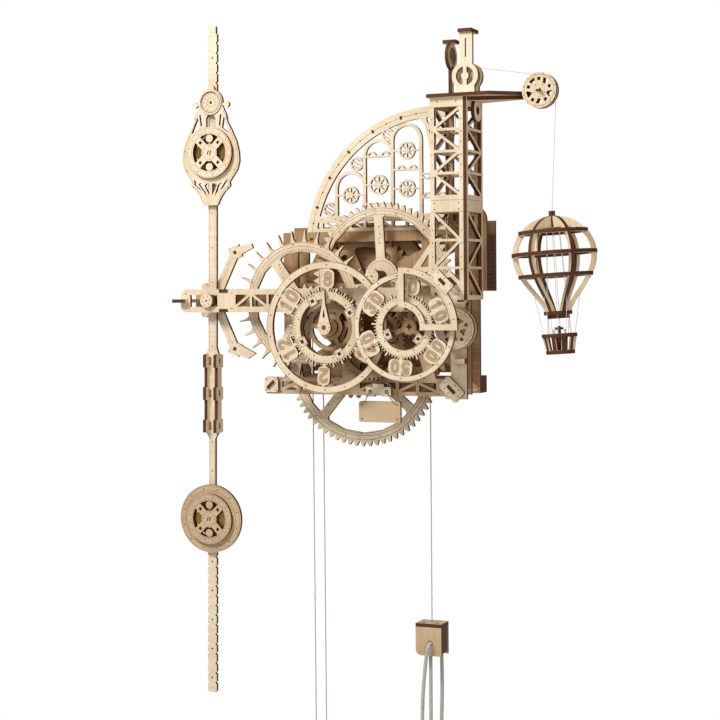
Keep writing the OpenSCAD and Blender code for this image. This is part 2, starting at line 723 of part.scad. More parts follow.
// Sign under the sill
sign_at = [7.8, -148.7];
sign_w = 37.4;
sign_h = 17.6;
sign_top = -125.5;
sign_d = front_d + 2 * ply_t;
module sign_bracket() color(birch) {
    ply(front_d + ply_t) span(sign_at[0] - 6, sign_at[0] + 4, sill_bottom + 1, sign_top);
    ply(sign_d) difference() {
        union() {
            for (x = [-8.2, 6.4])
                translate([sign_at[0] + x, sill_bottom + 3.4]) square(8, center = true);
            span(sign_at[0] - 6, sign_at[0] + 4, sill_bottom + 1, sign_top);
        }
        for (x = [-8.2, 6.4])
            translate([sign_at[0] + x, sill_bottom + 3.4]) square(3, center = true);
    }
}
module name_plate() color(birch) ply(sign_d) at(sign_at) difference() {
    rounded(sign_w, sign_h, 2);
    for (x = [-1, 1], z = [-1, 1])
        translate([x * (sign_w / 2 - 2.8), z * (sign_h / 2 - 2.8)]) circle(0.7);
}
// Wire links from the bracket's pads to the sign
link_r = 0.45;
link_d = sign_d + ply_t + link_r + 0.4;
module sign_links() color(coin_tone) for (x = [-1, 1]) {
    hang_x = sign_at[0] - 0.9 + x * 7.3;
    translate([hang_x - 1.2, -link_d, sill_bottom + 3.4]) rotate([0, 90, 0]) cylinder(h = 2.4, r = link_r, $fn = 24);
    slant([sign_at[0] + x * 14, -link_d, sign_at[1] + sign_h / 2 - 2], [hang_x, -link_d, sill_bottom + 3.4], link_r);
}

// Pendulum, drawn about its pivot and leaned about it
module leaned() translate([pivot_at[0], 0, pivot_at[1]]) rotate([0, pendulum_lean, 0]) children();
scallop_pitch = 8.6;
scallop_w = 8.8;
// Strip with round lobes from z0 up to z1
module scallops(z0, z1) {
    count = floor((z1 - z0) / scallop_pitch);
    difference() {
        union() {
            translate([-scallop_w / 2 + 1.1, z0]) square([scallop_w - 2.2, z1 - z0]);
            for (i = [0:count - 1])
                translate([0, z0 + (i + 0.5) * scallop_pitch]) intersection() {
                    circle(5.4);
                    square([scallop_w, scallop_pitch - 1.6], center = true);
                }
        }
        for (i = [1:3:count - 1])
            translate([0, z0 + (i + 0.5) * scallop_pitch]) circle(0.8);
    }
}
upper_strip = 172;
lower_strip = 170;
sleeve_top = -47;
sleeve_bottom = -116;
module pendulum_rod() color(birch) leaned() ply(rod_d) difference() {
    union() {
        translate([-rod_w / 2, sleeve_top - 2]) square([rod_w, upper_strip - sleeve_top + 2]);
        polygon([[-rod_w / 2, sleeve_top + 6], [rod_w / 2, sleeve_top + 6], [rod_w / 2 + 2, sleeve_top],
            [rod_w / 2 + 2, sleeve_bottom], [rod_w / 2 - 1, sleeve_bottom - 5], [1 - rod_w / 2, sleeve_bottom - 5],
            [-rod_w / 2 - 2, sleeve_bottom], [-rod_w / 2 - 2, sleeve_top]]);
        translate([1 - rod_w / 2, -lower_strip]) square([rod_w - 2, lower_strip + sleeve_bottom]);
        scallops(upper_strip, rod_up);
        scallops(-rod_down, -lower_strip);
    }
    circle(arbor_r);
    sleeve_slots();
}
clamp_z = [sleeve_top - 6, (sleeve_top + sleeve_bottom) / 2, sleeve_bottom + 6];
sleeve_x = rod_w / 2 - 1.5;
module sleeve_slots() for (x = [-1, 1], z = clamp_z)
    translate([x * sleeve_x, z]) square([ply_t, 7], center = true);
// Side plates that stiffen the rod, square to it, tenoned through it
module rod_sleeve() color(birch_dark) leaned() for (x = [-1, 1])
    translate([x * sleeve_x + ply_t / 2, -rod_d - ply_t, 0]) rotate([90, 0, -90]) linear_extrude(ply_t) union() {
        translate([-6.5, sleeve_bottom]) square([3.5 - joint_gap, sleeve_top - sleeve_bottom]);
        translate([joint_gap, sleeve_bottom]) square([4.5, sleeve_top - sleeve_bottom]);
        for (z = clamp_z) {
            translate([-8, z - 5.6]) square([5 - joint_gap, 11.2]);
            translate([joint_gap, z - 5.6]) square([6, 11.2]);
            translate([-4, z - 3.5]) square([5, 7]);
        }
    }
pallet_high = [37.5, 46];
pallet_low = [40.4, -45.6];
module anchor() color(birch) leaned() {
    ply(escape_d) difference() {
        union() {
            circle(9);
            for (a = [130, 230])
                hull() {
                    circle(6);
                    at(polar(15, a)) circle(3.4, $fn = 24);
                }
            strip([0, 0], [20, 42], 8);
            strip([0, 0], [20, -42], 8);
            at([20, 42]) rotate(20) square(11, center = true);
            at([20, -42]) rotate(-20) square(11, center = true);
            polygon([[22, 47], [36, 49.6], pallet_high, [33, 44], [24, 39]]);
            polygon([[24, -38], pallet_low, [33, -50.5], [22, -47]]);
        }
        circle(arbor_r);
        at([20, 42]) rotate(20) square(3, center = true);
        at([20, -42]) rotate(-20) square(3, center = true);
    }
}
module pendulum_arbor() color(birch_dark) leaned() {
    arbor([0, 0], middle_d + ply_t, front_d + ply_t + 0.4,
        [[middle_d + 2 * ply_t + 0.4, escape_d], [rod_d + ply_t, front_d - 0.4]]);
    ply(front_d + ply_t + 0.4) circle(6);
    ply(escape_d + ply_t, rod_d - escape_d - ply_t) ring(6, arbor_r);
}
// Sliding weights: a front plate with a coin wheel, and a rear plate with guides
weight_gap = 0.25;
weight_front_d = rod_d + ply_t + weight_gap;
wheel_r = 22;
function teardrop_half() = [[10.5, 41.5], [12.6, 38], [15, 33], [16.2, 27], [20, 20], [25, 10], [27.6, 0], [28, -8],
    [26, -15], [21, -22], [18.6, -25.5], [19.2, -29], [14, -33.5], [10, -39], [7, -45.5]];
module teardrop_window() {
    circle(16);
    translate([0, 25]) {
        square([9, 8], center = true);
        translate([0, 4]) circle(4.5);
    }
    for (s = [-1, 1]) {
        polygon([[s * 8, 24], [s * 9, 33], [s * 11.4, 33], [s * 9.8, 23]]);
        polygon([[s * 11, 21.5], [s * 12.6, 31], [s * 13.8, 29], [s * 19, 17], [s * 17, 17.5]]);
        polygon([[s * 1.4, -26.5], [s * 1.4, -37], [s * 6, -28.5], [s * 4, -26.5]]);
        polygon([[s * 7.5, -27.5], [s * 3.4, -38], [s * 12, -27], [s * 10, -26]]);
        polygon([[s * 13.5, -26], [s * 9, -33], [s * 16, -27.5], [s * 16.5, -22.5]]);
    }
}
module coin_wheel(d) ply(d) {
    difference() {
        ring(wheel_r, 16);
    }
    for (a = [45:90:315])
        rotate(a) difference() {
            translate([4, -3.2]) square([13, 6.4]);
            translate([12.2, 0]) square(2.6, center = true);
        }
    difference() {
        circle(7.4);
        for (x = [-1.2, 1.2])
            translate([x, 0]) rotate(-20) square([1, 4], center = true);
    }
}
module weight_back() {
    ply(rod_d - ply_t - weight_gap) circle(17);
    for (x = [-1, 1])
        translate([0, 0, 0]) ply(rod_d - weight_gap, ply_t + 2 * weight_gap)
            translate([x * (scallop_w / 2 + 3.4), 0]) square([6, 22], center = true);
}
module weight_coins() color(coin_tone) {
    for (x = [-1, 1])
        ply(weight_front_d + 0.1, ply_t - 0.2) translate([x * 8.2, 0]) circle(7.2);
}
module small_discs() for (z = [-1, 1])
    ply(weight_front_d, 2 * ply_t - 0.6) translate([0, z * 12.4]) circle(3.4);
module at_upper_weight() leaned() translate([0, 0, upper_weight_z]) children();
module at_bob() leaned() translate([0, 0, -bob_z]) children();
module upper_weight_front() color(birch) at_upper_weight() {
    ply(weight_front_d) difference() {
        union() {
            polygon(concat([for (p = teardrop_half()) p],
                [for (i = [len(teardrop_half()) - 1:-1:0]) [-teardrop_half()[i][0], teardrop_half()[i][1]]]));
            translate([0, 43.5]) circle(11.5);
            translate([0, 55]) circle(3.4);
            for (s = [-1, 1])
                pill([s * 10, 42], [s * 15.6, 41.4], 2);
            for (s = [-1, 1])
                translate([s * 15.6, 41.4]) circle(2.4);
        }
        teardrop_window();
    }
    ply(weight_front_d + ply_t, 1) translate([0, 43.5]) ring(10.6, 9.6);
    coin_wheel(weight_front_d + ply_t);
    small_discs();
}
module upper_weight_back() color(birch_dark) at_upper_weight() weight_back();
module upper_weight_coins() at_upper_weight() weight_coins();
module bob_front() color(birch) at_bob() {
    ply(weight_front_d) difference() {
        circle(bob_r);
        circle(16);
    }
    coin_wheel(weight_front_d + ply_t);
    small_discs();
}
module bob_back() color(birch_dark) at_bob() weight_back();
module bob_coins() at_bob() weight_coins();

// Wheel train
module great_wheel() color(birch) ply(great_d) at(great_at) difference() {
    gear(great_n);
    windows(pitch_r(great_n) - 10, 14, 4, 8, 50);
    circle(arbor_r);
}
module great_arbor() color(birch_dark) {
    arbor(great_at, back_d, front_d + ply_t + 0.4,
        [[back_d + ply_t + 0.4, winding_d], [winding_d + ply_t, middle_d - 0.4],
         [middle_d + ply_t + 0.4, great_d], [great_d + ply_t, drive_d], [drive_d + ply_t, front_d - 0.4]]);
    ply(winding_d) at(great_at) gear(winding_pinion_n);
    ply(drive_d) at(great_at) gear(drive_n, drive_m);
}
module cord_wheel() color(birch) difference() {
    union() {
        ply(cord_d) at(cord_at) circle(cord_groove_r + 3.6, $fn = 120);
        ply(cord_d + ply_t) at(cord_at) circle(cord_groove_r, $fn = 120);
        ply(cord_d + 2 * ply_t) at(cord_at) circle(cord_groove_r + 3.6, $fn = 120);
    }
    ply(cord_d - 1, 3 * ply_t + 2) at(cord_at) {
        windows(cord_groove_r - 7, 14, 6, 8, 0);
        circle(arbor_r);
    }
}
module winding_wheel() color(birch_dark) {
    ply(winding_d) at(cord_at) rotate(winding_turn) difference() {
        gear(winding_n);
        windows(pitch_r(winding_n) - 9, 12, 5, 8, 20);
    }
    arbor(cord_at, back_d, middle_d + ply_t,
        [[back_d + ply_t + 0.4, cord_d], [cord_d + 3 * ply_t, winding_d], [winding_d + ply_t, middle_d - 0.4]]);
}
module upper_wheel() color(birch) ply(upper_d) at(upper_at) difference() {
    gear(upper_n);
    windows(pitch_r(upper_n) - 9, 15, 3, 8, 93);
    circle(arbor_r);
}
module upper_arbor() color(birch_dark) {
    arbor(upper_at, middle_d, front_d + ply_t + 0.4,
        [[middle_d + ply_t + 0.4, great_d], [great_d + ply_t, upper_d], [upper_d + ply_t, front_d - 0.4]]);
    ply(great_d) at(upper_at) rotate(upper_pinion_turn) gear(upper_pinion_n);
    ply(front_d + ply_t + 0.4) at(upper_at) circle(6);
}
escape_rim = 52.1;
module escape_wheel() color(birch) ply(escape_d) at(escape_at) difference() {
    union() {
        circle(escape_rim, $fn = 120);
        for (i = [0:escape_n - 1])
            rotate(360 * i / escape_n + 3) polygon([[escape_rim - 1, -3], [escape_rim + 3, -0.9],
                [escape_tip_r, -0.5], [escape_tip_r, 0.2], [escape_rim + 4, 1.1], [escape_rim - 1, 2.2]]);
    }
    windows(escape_rim - 8, 12, 3, 9, 125);
    circle(arbor_r);
}
module escape_arbor() color(birch_dark) {
    arbor(escape_at, middle_d, front_d + ply_t + 0.4,
        [[middle_d + ply_t + 0.4, great_d - 0.4], [great_d + ply_t + 0.4, upper_d], [upper_d + ply_t, escape_d],
         [escape_d + ply_t, front_d - 0.4]]);
    ply(upper_d) at(escape_at) rotate(escape_pinion_turn) gear(escape_pinion_n);
    ply(front_d + ply_t + 0.4) at(escape_at) circle(4);
}

// Dials: an outer ring, a ring of ticks, and slabs behind the digits that join the two
digit_w = 10;
module digit_slab(r, a, digits, h) rotate(a) translate([r, 0]) {
    for (i = [1:digits])
        translate([0, (i - (digits + 1) / 2) * digit_w]) rounded(h, digit_w + 1, 4);
    square([h + 4, 3], center = true);
}
module dial(r, band, tick_in, tick_out, ticks, long_every, slabs, slab_h) {
    ring(r, r - band);
    ring(tick_out, tick_in);
    for (i = [0:ticks - 1])
        rotate(360 * i / ticks) translate([tick_out - 0.5, -0.5])
            square([i % long_every == 0 ? 4.5 : 2.2, i % long_every == 0 ? 1.3 : 0.9]);
    for (i = [0:len(slabs) - 1])
        digit_slab((tick_out + r - band) / 2 + 0.8, 90 + 60 * i, slabs[i], slab_h);
}
module peg_tabs(r, n, a0, size) for (i = [0:n - 1])
    rotate(a0 + 360 * i / n) translate([r, 0]) square(size, center = true);
hour_peg_r = 25;
module hour_ring() color(birch) ply(hour_ring_d) at(hour_at) difference() {
    union() {
        rotate(hour_dial_turn) dial(hour_r, 5.8, 23.5, 30, 72, 3, [1, 2, 2, 1, 1, 1], 15.5);
        peg_tabs(hour_peg_r, 4, 29, 8);
    }
    peg_tabs(hour_peg_r, 4, 29, 3);
}
module hour_wheel() color(birch_dark) {
    ply(hour_d) at(hour_at) rotate(hour_turn) difference() {
        gear(hour_n, dial_m);
        softened(1) for (r = [11, 20])
            difference() {
                ring(r + 5.6, r);
                for (a = [0, 120, 240])
                    rotate(a + r * 3) translate([0, -2]) square([30, 4]);
            }
        circle(hole_r);
    }
    ply(hour_d + ply_t, hour_ring_d + ply_t - hour_d - ply_t) at(hour_at) peg_tabs(hour_peg_r, 4, 29, 3);
    ply(hour_d + ply_t, ply_t) at(hour_at) ring(7.4, hole_r);
}
minute_peg_r = 15.3;
peg_w = 2.8;
module minute_ring() color(birch) ply(minute_ring_d) at(minute_at) difference() {
    union() {
        rotate(minute_dial_turn) dial(minute_r, 4.6, 18.6, 24.6, 60, 5, [2, 2, 2, 2, 2, 2], 12.6);
        for (i = [0:2])
            rotate(82.5 + 120 * i) translate([16.6, 0]) square([8, 8], center = true);
    }
    peg_tabs(minute_peg_r, 3, 82.5, peg_w);
}
spider_d = hour_d + ply_t + 0.5;
module minute_arbor() color(birch_dark) {
    arbor(minute_at, escape_d, spider_d + ply_t,
        [[escape_d + ply_t + 0.4, drive_d], [drive_d + ply_t, front_d - 0.4],
         [front_d + ply_t + 0.4, inter_d], [inter_d + ply_t, spider_d]]);
    ply(drive_d) at(minute_at) rotate(minute_turn) difference() {
        gear(minute_n, drive_m);
        windows(pitch_r(minute_n, drive_m) - 8, 12, 5, 8, 10);
    }
    ply(inter_d) at(minute_at) gear(minute_pinion_n, dial_m);
    ply(spider_d) at(minute_at) {
        circle(6.5);
        for (i = [0:2])
            rotate(82.5 + 120 * i) {
                translate([0, -2]) square([minute_peg_r, 4]);
                translate([minute_peg_r, 0]) square([peg_w, 4], center = true);
            }
    }
    ply(spider_d + ply_t, minute_ring_d - spider_d) at(minute_at) peg_tabs(minute_peg_r, 3, 82.5, peg_w);
}
module inter_wheel() color(birch_dark) difference() {
    union() {
        ply(inter_d) at(inter_at) rotate(inter_turn) difference() {
            gear(inter_n, dial_m);
            windows(pitch_r(inter_n, dial_m) - 5, 8, 5, 5, 20);
        }
        ply(inter_d + ply_t - eps, hour_d - inter_d + eps) at(inter_at) gear(inter_pinion_n, dial_m);
    }
    pin(inter_at, inter_d - 1, hour_d + ply_t + 1, hole_r);
}

// Balloon, drawn about the crown and hung with a lean
// Length of thread between the jib wheel and the balloon's crown
hang_length = 97.1;
balloon_at = [jib_at[0] + 9.5, -jib_d - 3, jib_at[1] - hang_length];
hoop_z = [for (share = [0.181, 0.395, 0.581]) -balloon_h * share];
rib_band = 4.6;
crown_r = 4.3;
ring_z = -balloon_h;
function balloon_out(z) = let (t = -z / balloon_h)
    t < 0.42 ? balloon_r * sqrt(1 - pow((0.42 - t) / 0.42, 2.1))
             : 12.5 + (balloon_r - 12.5) * pow(max(0, cos(90 * (t - 0.42) / 0.58)), 1.15);
module ballooned() translate(balloon_at) rotate([0, -balloon_lean, 0]) rotate([0, 0, 12]) children();
module rib_outline() difference() {
    polygon(concat([[crown_r - 0.5, -0.2]], [for (t = [0.02:0.035:1]) [balloon_out(-balloon_h * t), -balloon_h * t]],
        [[crown_r - 0.5, -balloon_h]]));
    polygon(concat([[-1, -rib_band]],
        [for (t = [0.05:0.05:1]) [max(balloon_out(-balloon_h * t) - rib_band, 0.5), min(-rib_band, -balloon_h * t)]],
        [[12.5 - rib_band, -balloon_h - 1], [-1, -balloon_h - 1]]));
}
module balloon_rib(a) rotate([0, 0, a]) rotate([90, 0, 0]) translate([0, 0, -ply_t / 2])
    linear_extrude(ply_t) rib_outline();
module hoop_cut(lift) for (z = hoop_z)
    translate([0, 0, z - ply_t / 2 - lift]) linear_extrude(ply_t + 2 * lift)
        ring(balloon_out(z) + 2, balloon_out(z) - rib_band / 2);
module balloon_ribs() color(birch) ballooned() difference() {
    union() {
        for (i = [0:7])
            balloon_rib(45 * i);
        translate([0, 0, -rib_band + 0.1]) cylinder(h = rib_band - 0.2, r = crown_r);
        translate([0, 0, -1]) cylinder(h = 5, r = crown_r - 1.2);
    }
    hoop_cut(0);
    translate([0, 0, -rib_band - 1]) cylinder(h = 20, r = 0.7);
}
module balloon_hoops() color(birch_dark) ballooned() {
    for (z = hoop_z)
        translate([0, 0, z - ply_t / 2]) linear_extrude(ply_t) difference() {
            ring(balloon_out(z) + 0.6, balloon_out(z) - rib_band);
            for (i = [0:7])
                rotate(45 * i) translate([0, -ply_t / 2]) square([balloon_out(z) - rib_band / 2, ply_t]);
        }
    translate([0, 0, ring_z - ply_t]) linear_extrude(ply_t) ring(12.8, 7.6);
}
basket_drop = 13;
basket_h = 14.5;
basket_top = ring_z - basket_drop;
basket_bottom = basket_top - basket_h;
module balloon_basket() color(birch_dark) ballooned() {
    translate([0, 0, basket_top]) linear_extrude(ply_t) ring(14.8, 9.6);
    translate([0, 0, basket_bottom]) linear_extrude(ply_t) circle(12.4);
    for (i = [0:7])
        rotate([0, 0, 45 * i]) translate([10.6, -1.5, basket_bottom + ply_t - 1]) cube([1.4, 3, basket_top - basket_bottom - ply_t + 1 + eps]);
    translate([0, 0, (basket_top + basket_bottom + ply_t) / 2 - 1]) linear_extrude(2) ring(12.6, 10.2);
}
module balloon_threads() color(rope_tone) ballooned() {
    for (i = [0:3])
        rotate([0, 0, 45 + 90 * i]) slant([11.2, 0, basket_top + ply_t], [11.2, 0, ring_z - ply_t], 0.4);
}
// Straight thread from a to b
module slant(a, b, r) translate(a) rotate([0, acos((b - a)[2] / norm(b - a)), atan2((b - a)[1], (b - a)[0])])
    cylinder(h = norm(b - a), r = r, $fn = 13);

// Drum for the balloon's thread, beside the minute dial
drum_at = [76, -79.5];
drum_d = front_d + ply_t + 1;
drum_r = 17;
module thread_drum() color(birch) {
    translate([drum_at[0], 0, drum_at[1]]) {
        translate([0, -drum_d, 0]) rotate([90, 0, 0]) difference() {
            union() {
                cylinder(h = ply_t, r = drum_r);
                cylinder(h = 2 * ply_t, r = drum_r - 3);
            }
            translate([0, 0, -1]) cylinder(h = 9, r = arbor_r);
        }
        ply(drum_d + 2 * ply_t) difference() {
            ring(drum_r, arbor_r);
            for (i = [0:4])
                rotate(90 + 72 * i) translate([10.6, 0]) square(2.8, center = true);
            for (i = [0:4])
                rotate(54 + 72 * i) polygon([[5.2, -0.8], [5.2, 0.8], [9.4, 3], [9.4, -3]]);
        }
    }
    pin(drum_at, front_d - 1.5, drum_d + 3 * ply_t, arbor_r);
}

// Cords. A sweep along points, with a frame that turns as little as it can
function unit(v) = v / norm(v);
function tangents(p) = [for (i = [0:len(p) - 1]) unit(p[min(i + 1, len(p) - 1)] - p[max(i - 1, 0)])];
function carried(t, b, i = 0) = i == len(t) ? [] :
    let (n = unit(b - (b * t[i]) * t[i])) concat([n], carried(t, n, i + 1));
module tube(p, r, sides, b0) {
    t = tangents(p);
    b = carried(t, b0);
    n = len(p);
    polyhedron([for (i = [0:n - 1], k = [0:sides - 1])
            let (c = cross(t[i], b[i])) p[i] + r * (cos(360 * k / sides) * b[i] + sin(360 * k / sides) * c)],
        concat([[for (k = [0:sides - 1]) k]],
            [for (i = [0:n - 2], k = [0:sides - 1])
                let (a = i * sides + k, d = i * sides + (k + 1) % sides) [a, a + sides, d]],
            [for (i = [0:n - 2], k = [0:sides - 1])
                let (a = i * sides + k, d = i * sides + (k + 1) % sides) [d, a + sides, d + sides]],
            [[for (k = [sides - 1:-1:0]) (n - 1) * sides + k]]));
}
cord_r = 0.5;
cord_y = -cord_d - 1.5 * ply_t;
cord_run_r = cord_groove_r + cord_r + 0.4;
block_top = -332;
loop_at = [cord_at[0] - cord_run_r + 5, -440];
peg_r = 1.5;
peg_at = [loop_at[0] + 5, -128];
// The right strand, over the wheel, the left strand, round the loop pulley and back to the peg
cord_path = concat(
    [[cord_at[0] + cord_run_r, block_top], [cord_at[0] + cord_run_r, -240], [cord_at[0] + cord_run_r, -140]],
    [for (a = [0:10:180]) cord_at + polar(cord_run_r, a)],
    [[loop_at[0] - 5, -140], [loop_at[0] - 5, -240], [loop_at[0] - 5, -340]],
    [for (a = [180:20:360]) loop_at + polar(5, a)],
    [[loop_at[0] + 5, -340], [loop_at[0] + 5, -240], [loop_at[0] + 5, peg_at[1] - peg_r - 0.02]]);
module drive_cord() color(cord_tone)
    tube([for (p = cord_path) [p[0], cord_y, p[1]]], cord_r, 8, [0, 1, 0]);
module loop_pulley() color(birch_dark) {
    translate([loop_at[0], cord_y + 3, loop_at[1]]) rotate([90, 0, 0]) {
        cylinder(h = 2, r = 7.5);
        cylinder(h = 6, r = 5 - cord_r - 0.2);
        translate([0, 0, 4]) cylinder(h = 2, r = 7.5);
    }
    // Counterweight that keeps the cord taut
    translate([loop_at[0], cord_y - 3.2, loop_at[1] + 2]) rotate([90, 0, 0]) linear_extrude(ply_t)
        translate([0, -8]) rounded(9, 22, 3);
}
block_w = 23.4;
block_deep = 18;
block_h = 27.6;
block_x = cord_at[0] + cord_run_r;
rope_hole_at = [block_x + 1.6, block_top - 16.6];
rope_hole_r = 2.2;
module block_face(notch) difference() {
    translate([block_x - block_w / 2, block_top - block_h]) difference() {
        square([block_w, block_h - ply_t]);
        if (notch)
            difference() {
                square([5, 5]);
                translate([5, 5]) circle(5);
            }
    }
    at(rope_hole_at) circle(rope_hole_r);
}
module weight_block() color(birch) {
    front = -cord_y + block_deep / 2;
    ply(front - ply_t) block_face(true);
    ply(front - block_deep) block_face(true);
    difference() {
        ply(front - block_deep, block_deep)
            span(block_x - block_w / 2, block_x + block_w / 2, block_top - ply_t + joint_gap, block_top);
        translate([block_x, cord_y, block_top - 5]) cylinder(h = 10, r = 0.9);
        for (x = [-6, 6])
            translate([block_x + x, cord_y - 4, block_top - 5]) translate([-1.5, -1.5, 0]) cube([3, 3, 10]);
    }
    for (x = [-1, 1])
        ply(front - block_deep + ply_t + joint_gap, block_deep - 2 * ply_t - 2 * joint_gap)
            span(block_x + x * (block_w / 2 - 2) - 1.5, block_x + x * (block_w / 2 - 2) + 1.5,
                block_top - block_h + 2, block_top - ply_t - joint_gap);
}
rope_r = 1.6;
// From the knot up to the block's hole, through it, down behind, and up again under the block
rope_path = [[28.5, -36, -446], [28.6, -36.2, -430], [29, -36.6, -410], [30, -37, -390], [32, -37.4, -370],
    [34, -38, -356], [35.4, -37.4, -350.6], [35.7, -35.2, -348.7], [35.7, -32, -348.6], [35.7, -24, -348.6],
    [35.7, -16.5, -348.6], [35.9, -13.2, -349.2], [36.4, -11.4, -352], [37, -11.2, -358], [38, -12.5, -372],
    [39, -15, -392], [39.6, -18, -412], [39.8, -20, -432], [39.4, -20.8, -440], [37.6, -21.4, -445.4],
    [35.2, -21.8, -446.6], [33, -22.2, -444.6], [31.8, -22.6, -439], [31.6, -23, -428], [31.8, -23.6, -400],
    [32, -24, -375], [32, -24, -359.8]];
module weight_rope() color(rope_tone) {
    tube(rope_path, rope_r, 8, [1, 0, 0]);
    translate([28.5, -36, -446.02]) rotate([180, 0, 0]) cylinder(h = 7, r = 3.2);
}
// Thread that hoists the balloon: drum, top pulley, jib wheel
thread_r = 0.3;
thread_run = 7.7 + thread_r + 0.25;
jib_run = jib_wheel_r - 2.4 + thread_r + 0.25;
thread_d = pulley_d + 2;
jib_thread_d = jib_d + 2;
hoist_path = concat(
    [[drum_at[0] - drum_r + 2.4, -drum_d - 1.5 * ply_t, drum_at[1] + 1],
        [pulley_at[0] - thread_run, -thread_d, pulley_at[1] - 2]],
    [for (a = [170:-20:90]) [pulley_at[0] + thread_run * cos(a), -thread_d, pulley_at[1] + thread_run * sin(a)]],
    [for (a = [80:-20:0]) [jib_at[0] + jib_run * cos(a), -jib_thread_d, jib_at[1] + jib_run * sin(a)]],
    [[jib_at[0] + jib_run - 0.2, -jib_thread_d - 0.1, jib_at[1] - 20.6],
        [balloon_at[0], balloon_at[1], balloon_at[2] + crown_r]]);
module hoist_thread() color(rope_tone) tube(hoist_path, thread_r, 6, [0, 1, 0]);

wall_spacers();
back_frame();
stretchers();
middle_frame();
front_beam();
front_lower();
right_column();
corner_plates();
arm_rear();
minute_bridge();
arch_window();
arch_fretwork();
tower_front();
tower_back();
tower_sides();
jib();
pulley_bracket();
coin_post();
side_cover();
sector_frame();
dial_posts();
hour_pointer();
sign_bracket();
name_plate();
sign_links();
pendulum_rod();
rod_sleeve();
anchor();
pendulum_arbor();
upper_weight_front();
upper_weight_back();
upper_weight_coins();
bob_front();
bob_back();
bob_coins();
great_wheel();
great_arbor();
cord_wheel();
winding_wheel();
upper_wheel();
upper_arbor();
escape_wheel();
escape_arbor();
hour_ring();
hour_wheel();
minute_ring();
minute_arbor();
inter_wheel();
balloon_ribs();
balloon_hoops();
balloon_basket();
balloon_threads();
jib_wheel();
top_pulley();
thread_drum();
hoist_thread();
drive_cord();
loop_pulley();
weight_block();
weight_rope();
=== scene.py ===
"""Looks of the wall clock model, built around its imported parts. X is to the right, Y into the wall and Z up.
Lengths are millimetres, except in the camera's distance, the stage and the lights, which are in metres.
A depth is counted from the wall to the viewer, so that depth 60 is Y -60."""
import math

import bmesh
import bpy
from mathutils import Matrix, Vector


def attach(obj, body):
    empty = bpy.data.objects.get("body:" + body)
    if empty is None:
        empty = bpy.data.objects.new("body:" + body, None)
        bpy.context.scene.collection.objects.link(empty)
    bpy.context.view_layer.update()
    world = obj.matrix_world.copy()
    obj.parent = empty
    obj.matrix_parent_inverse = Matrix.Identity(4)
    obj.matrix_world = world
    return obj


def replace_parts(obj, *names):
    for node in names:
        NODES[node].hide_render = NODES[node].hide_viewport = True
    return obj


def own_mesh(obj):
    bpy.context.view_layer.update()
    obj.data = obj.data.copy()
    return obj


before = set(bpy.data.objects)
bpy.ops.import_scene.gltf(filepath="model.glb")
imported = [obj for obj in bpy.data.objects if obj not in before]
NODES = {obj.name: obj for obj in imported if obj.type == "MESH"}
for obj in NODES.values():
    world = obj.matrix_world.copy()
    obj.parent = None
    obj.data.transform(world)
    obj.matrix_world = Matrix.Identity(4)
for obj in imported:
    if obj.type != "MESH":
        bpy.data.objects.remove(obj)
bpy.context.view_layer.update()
MM = 0.001


def polar(r, a, c=(0.0, 0.0)):
    """The point at radius r and angle a in degrees round c."""
    return (c[0] + r * math.cos(math.radians(a)), c[1] + r * math.sin(math.radians(a)))


def shifted(c, u, v, degrees):
    """The point at (u, v) from c, along axes turned by an angle in degrees."""
    ca, sa = math.cos(math.radians(degrees)), math.sin(math.radians(degrees))
    return (c[0] + u * ca - v * sa, c[1] + u * sa + v * ca)


# Places, repeated from the part's source
UPPER = (0.5, -36.0)
GREAT = polar(78, -105.6, UPPER)
ESCAPE = polar(75, 196.9, UPPER)
CORD = polar(64, 90.9, GREAT)
PIVOT = (-156.0, -55.3)
HOUR = (-34.7, -78.2)
MINUTE = (37.8, -77.8)
DRUM = (76.0, -79.5)
JIB = (145.3, 110.6)
PULLEY = (84.5, 124.9)
BALLOON = (154.8, -66.0, 10.4)
LEAN = math.radians(0.8)
HOUR_TURN, MINUTE_TURN = -3.3, -6.0
COIN_X, COIN_DEPTH, COIN_Z = 63.5, 49.0, 144.5
UPPER_WEIGHT_Z, BOB_Z = 128.5, -191.5
PAD_X, PAD_Z, PAD_TURN, ANCHOR_DEPTH = 20, 42, 20, 57.0
SHEET = 3.0

# Camera, at the photograph's viewpoint
AZIMUTH, ELEVATION, ROLL = math.radians(23.5), math.radians(2.3), math.radians(0.5)
FOCAL_PX, FRAME_PX, SENSOR = 1700.0, 720.0, 36.0
TARGET = Vector((-3.0, -90.0, -105.0)) * MM
DISTANCE = 1.4025


def make_camera():
    back = Vector((math.sin(AZIMUTH) * math.cos(ELEVATION), -math.cos(AZIMUTH) * math.cos(ELEVATION),
                   math.sin(ELEVATION)))
    right = Vector((math.cos(AZIMUTH), math.sin(AZIMUTH), 0.0))
    up = back.cross(right)
    rolled_right = right * math.cos(ROLL) - up * math.sin(ROLL)
    rolled_up = up * math.cos(ROLL) + right * math.sin(ROLL)
    data = bpy.data.cameras.new("camera")
    data.sensor_width = SENSOR
    data.lens = FOCAL_PX / FRAME_PX * SENSOR
    data.clip_start, data.clip_end = 0.05, 20.0
    camera = bpy.data.objects.new("camera", data)
    bpy.context.scene.collection.objects.link(camera)
    turn = Matrix((rolled_right, rolled_up, back)).transposed().to_4x4()
    camera.matrix_world = Matrix.Translation(TARGET + back * DISTANCE) @ turn
    bpy.context.scene.camera = camera


make_camera()


# Small mesh helpers
def link(name, mesh):
    piece = bpy.data.objects.new(name, mesh)
    bpy.context.scene.collection.objects.link(piece)
    return piece


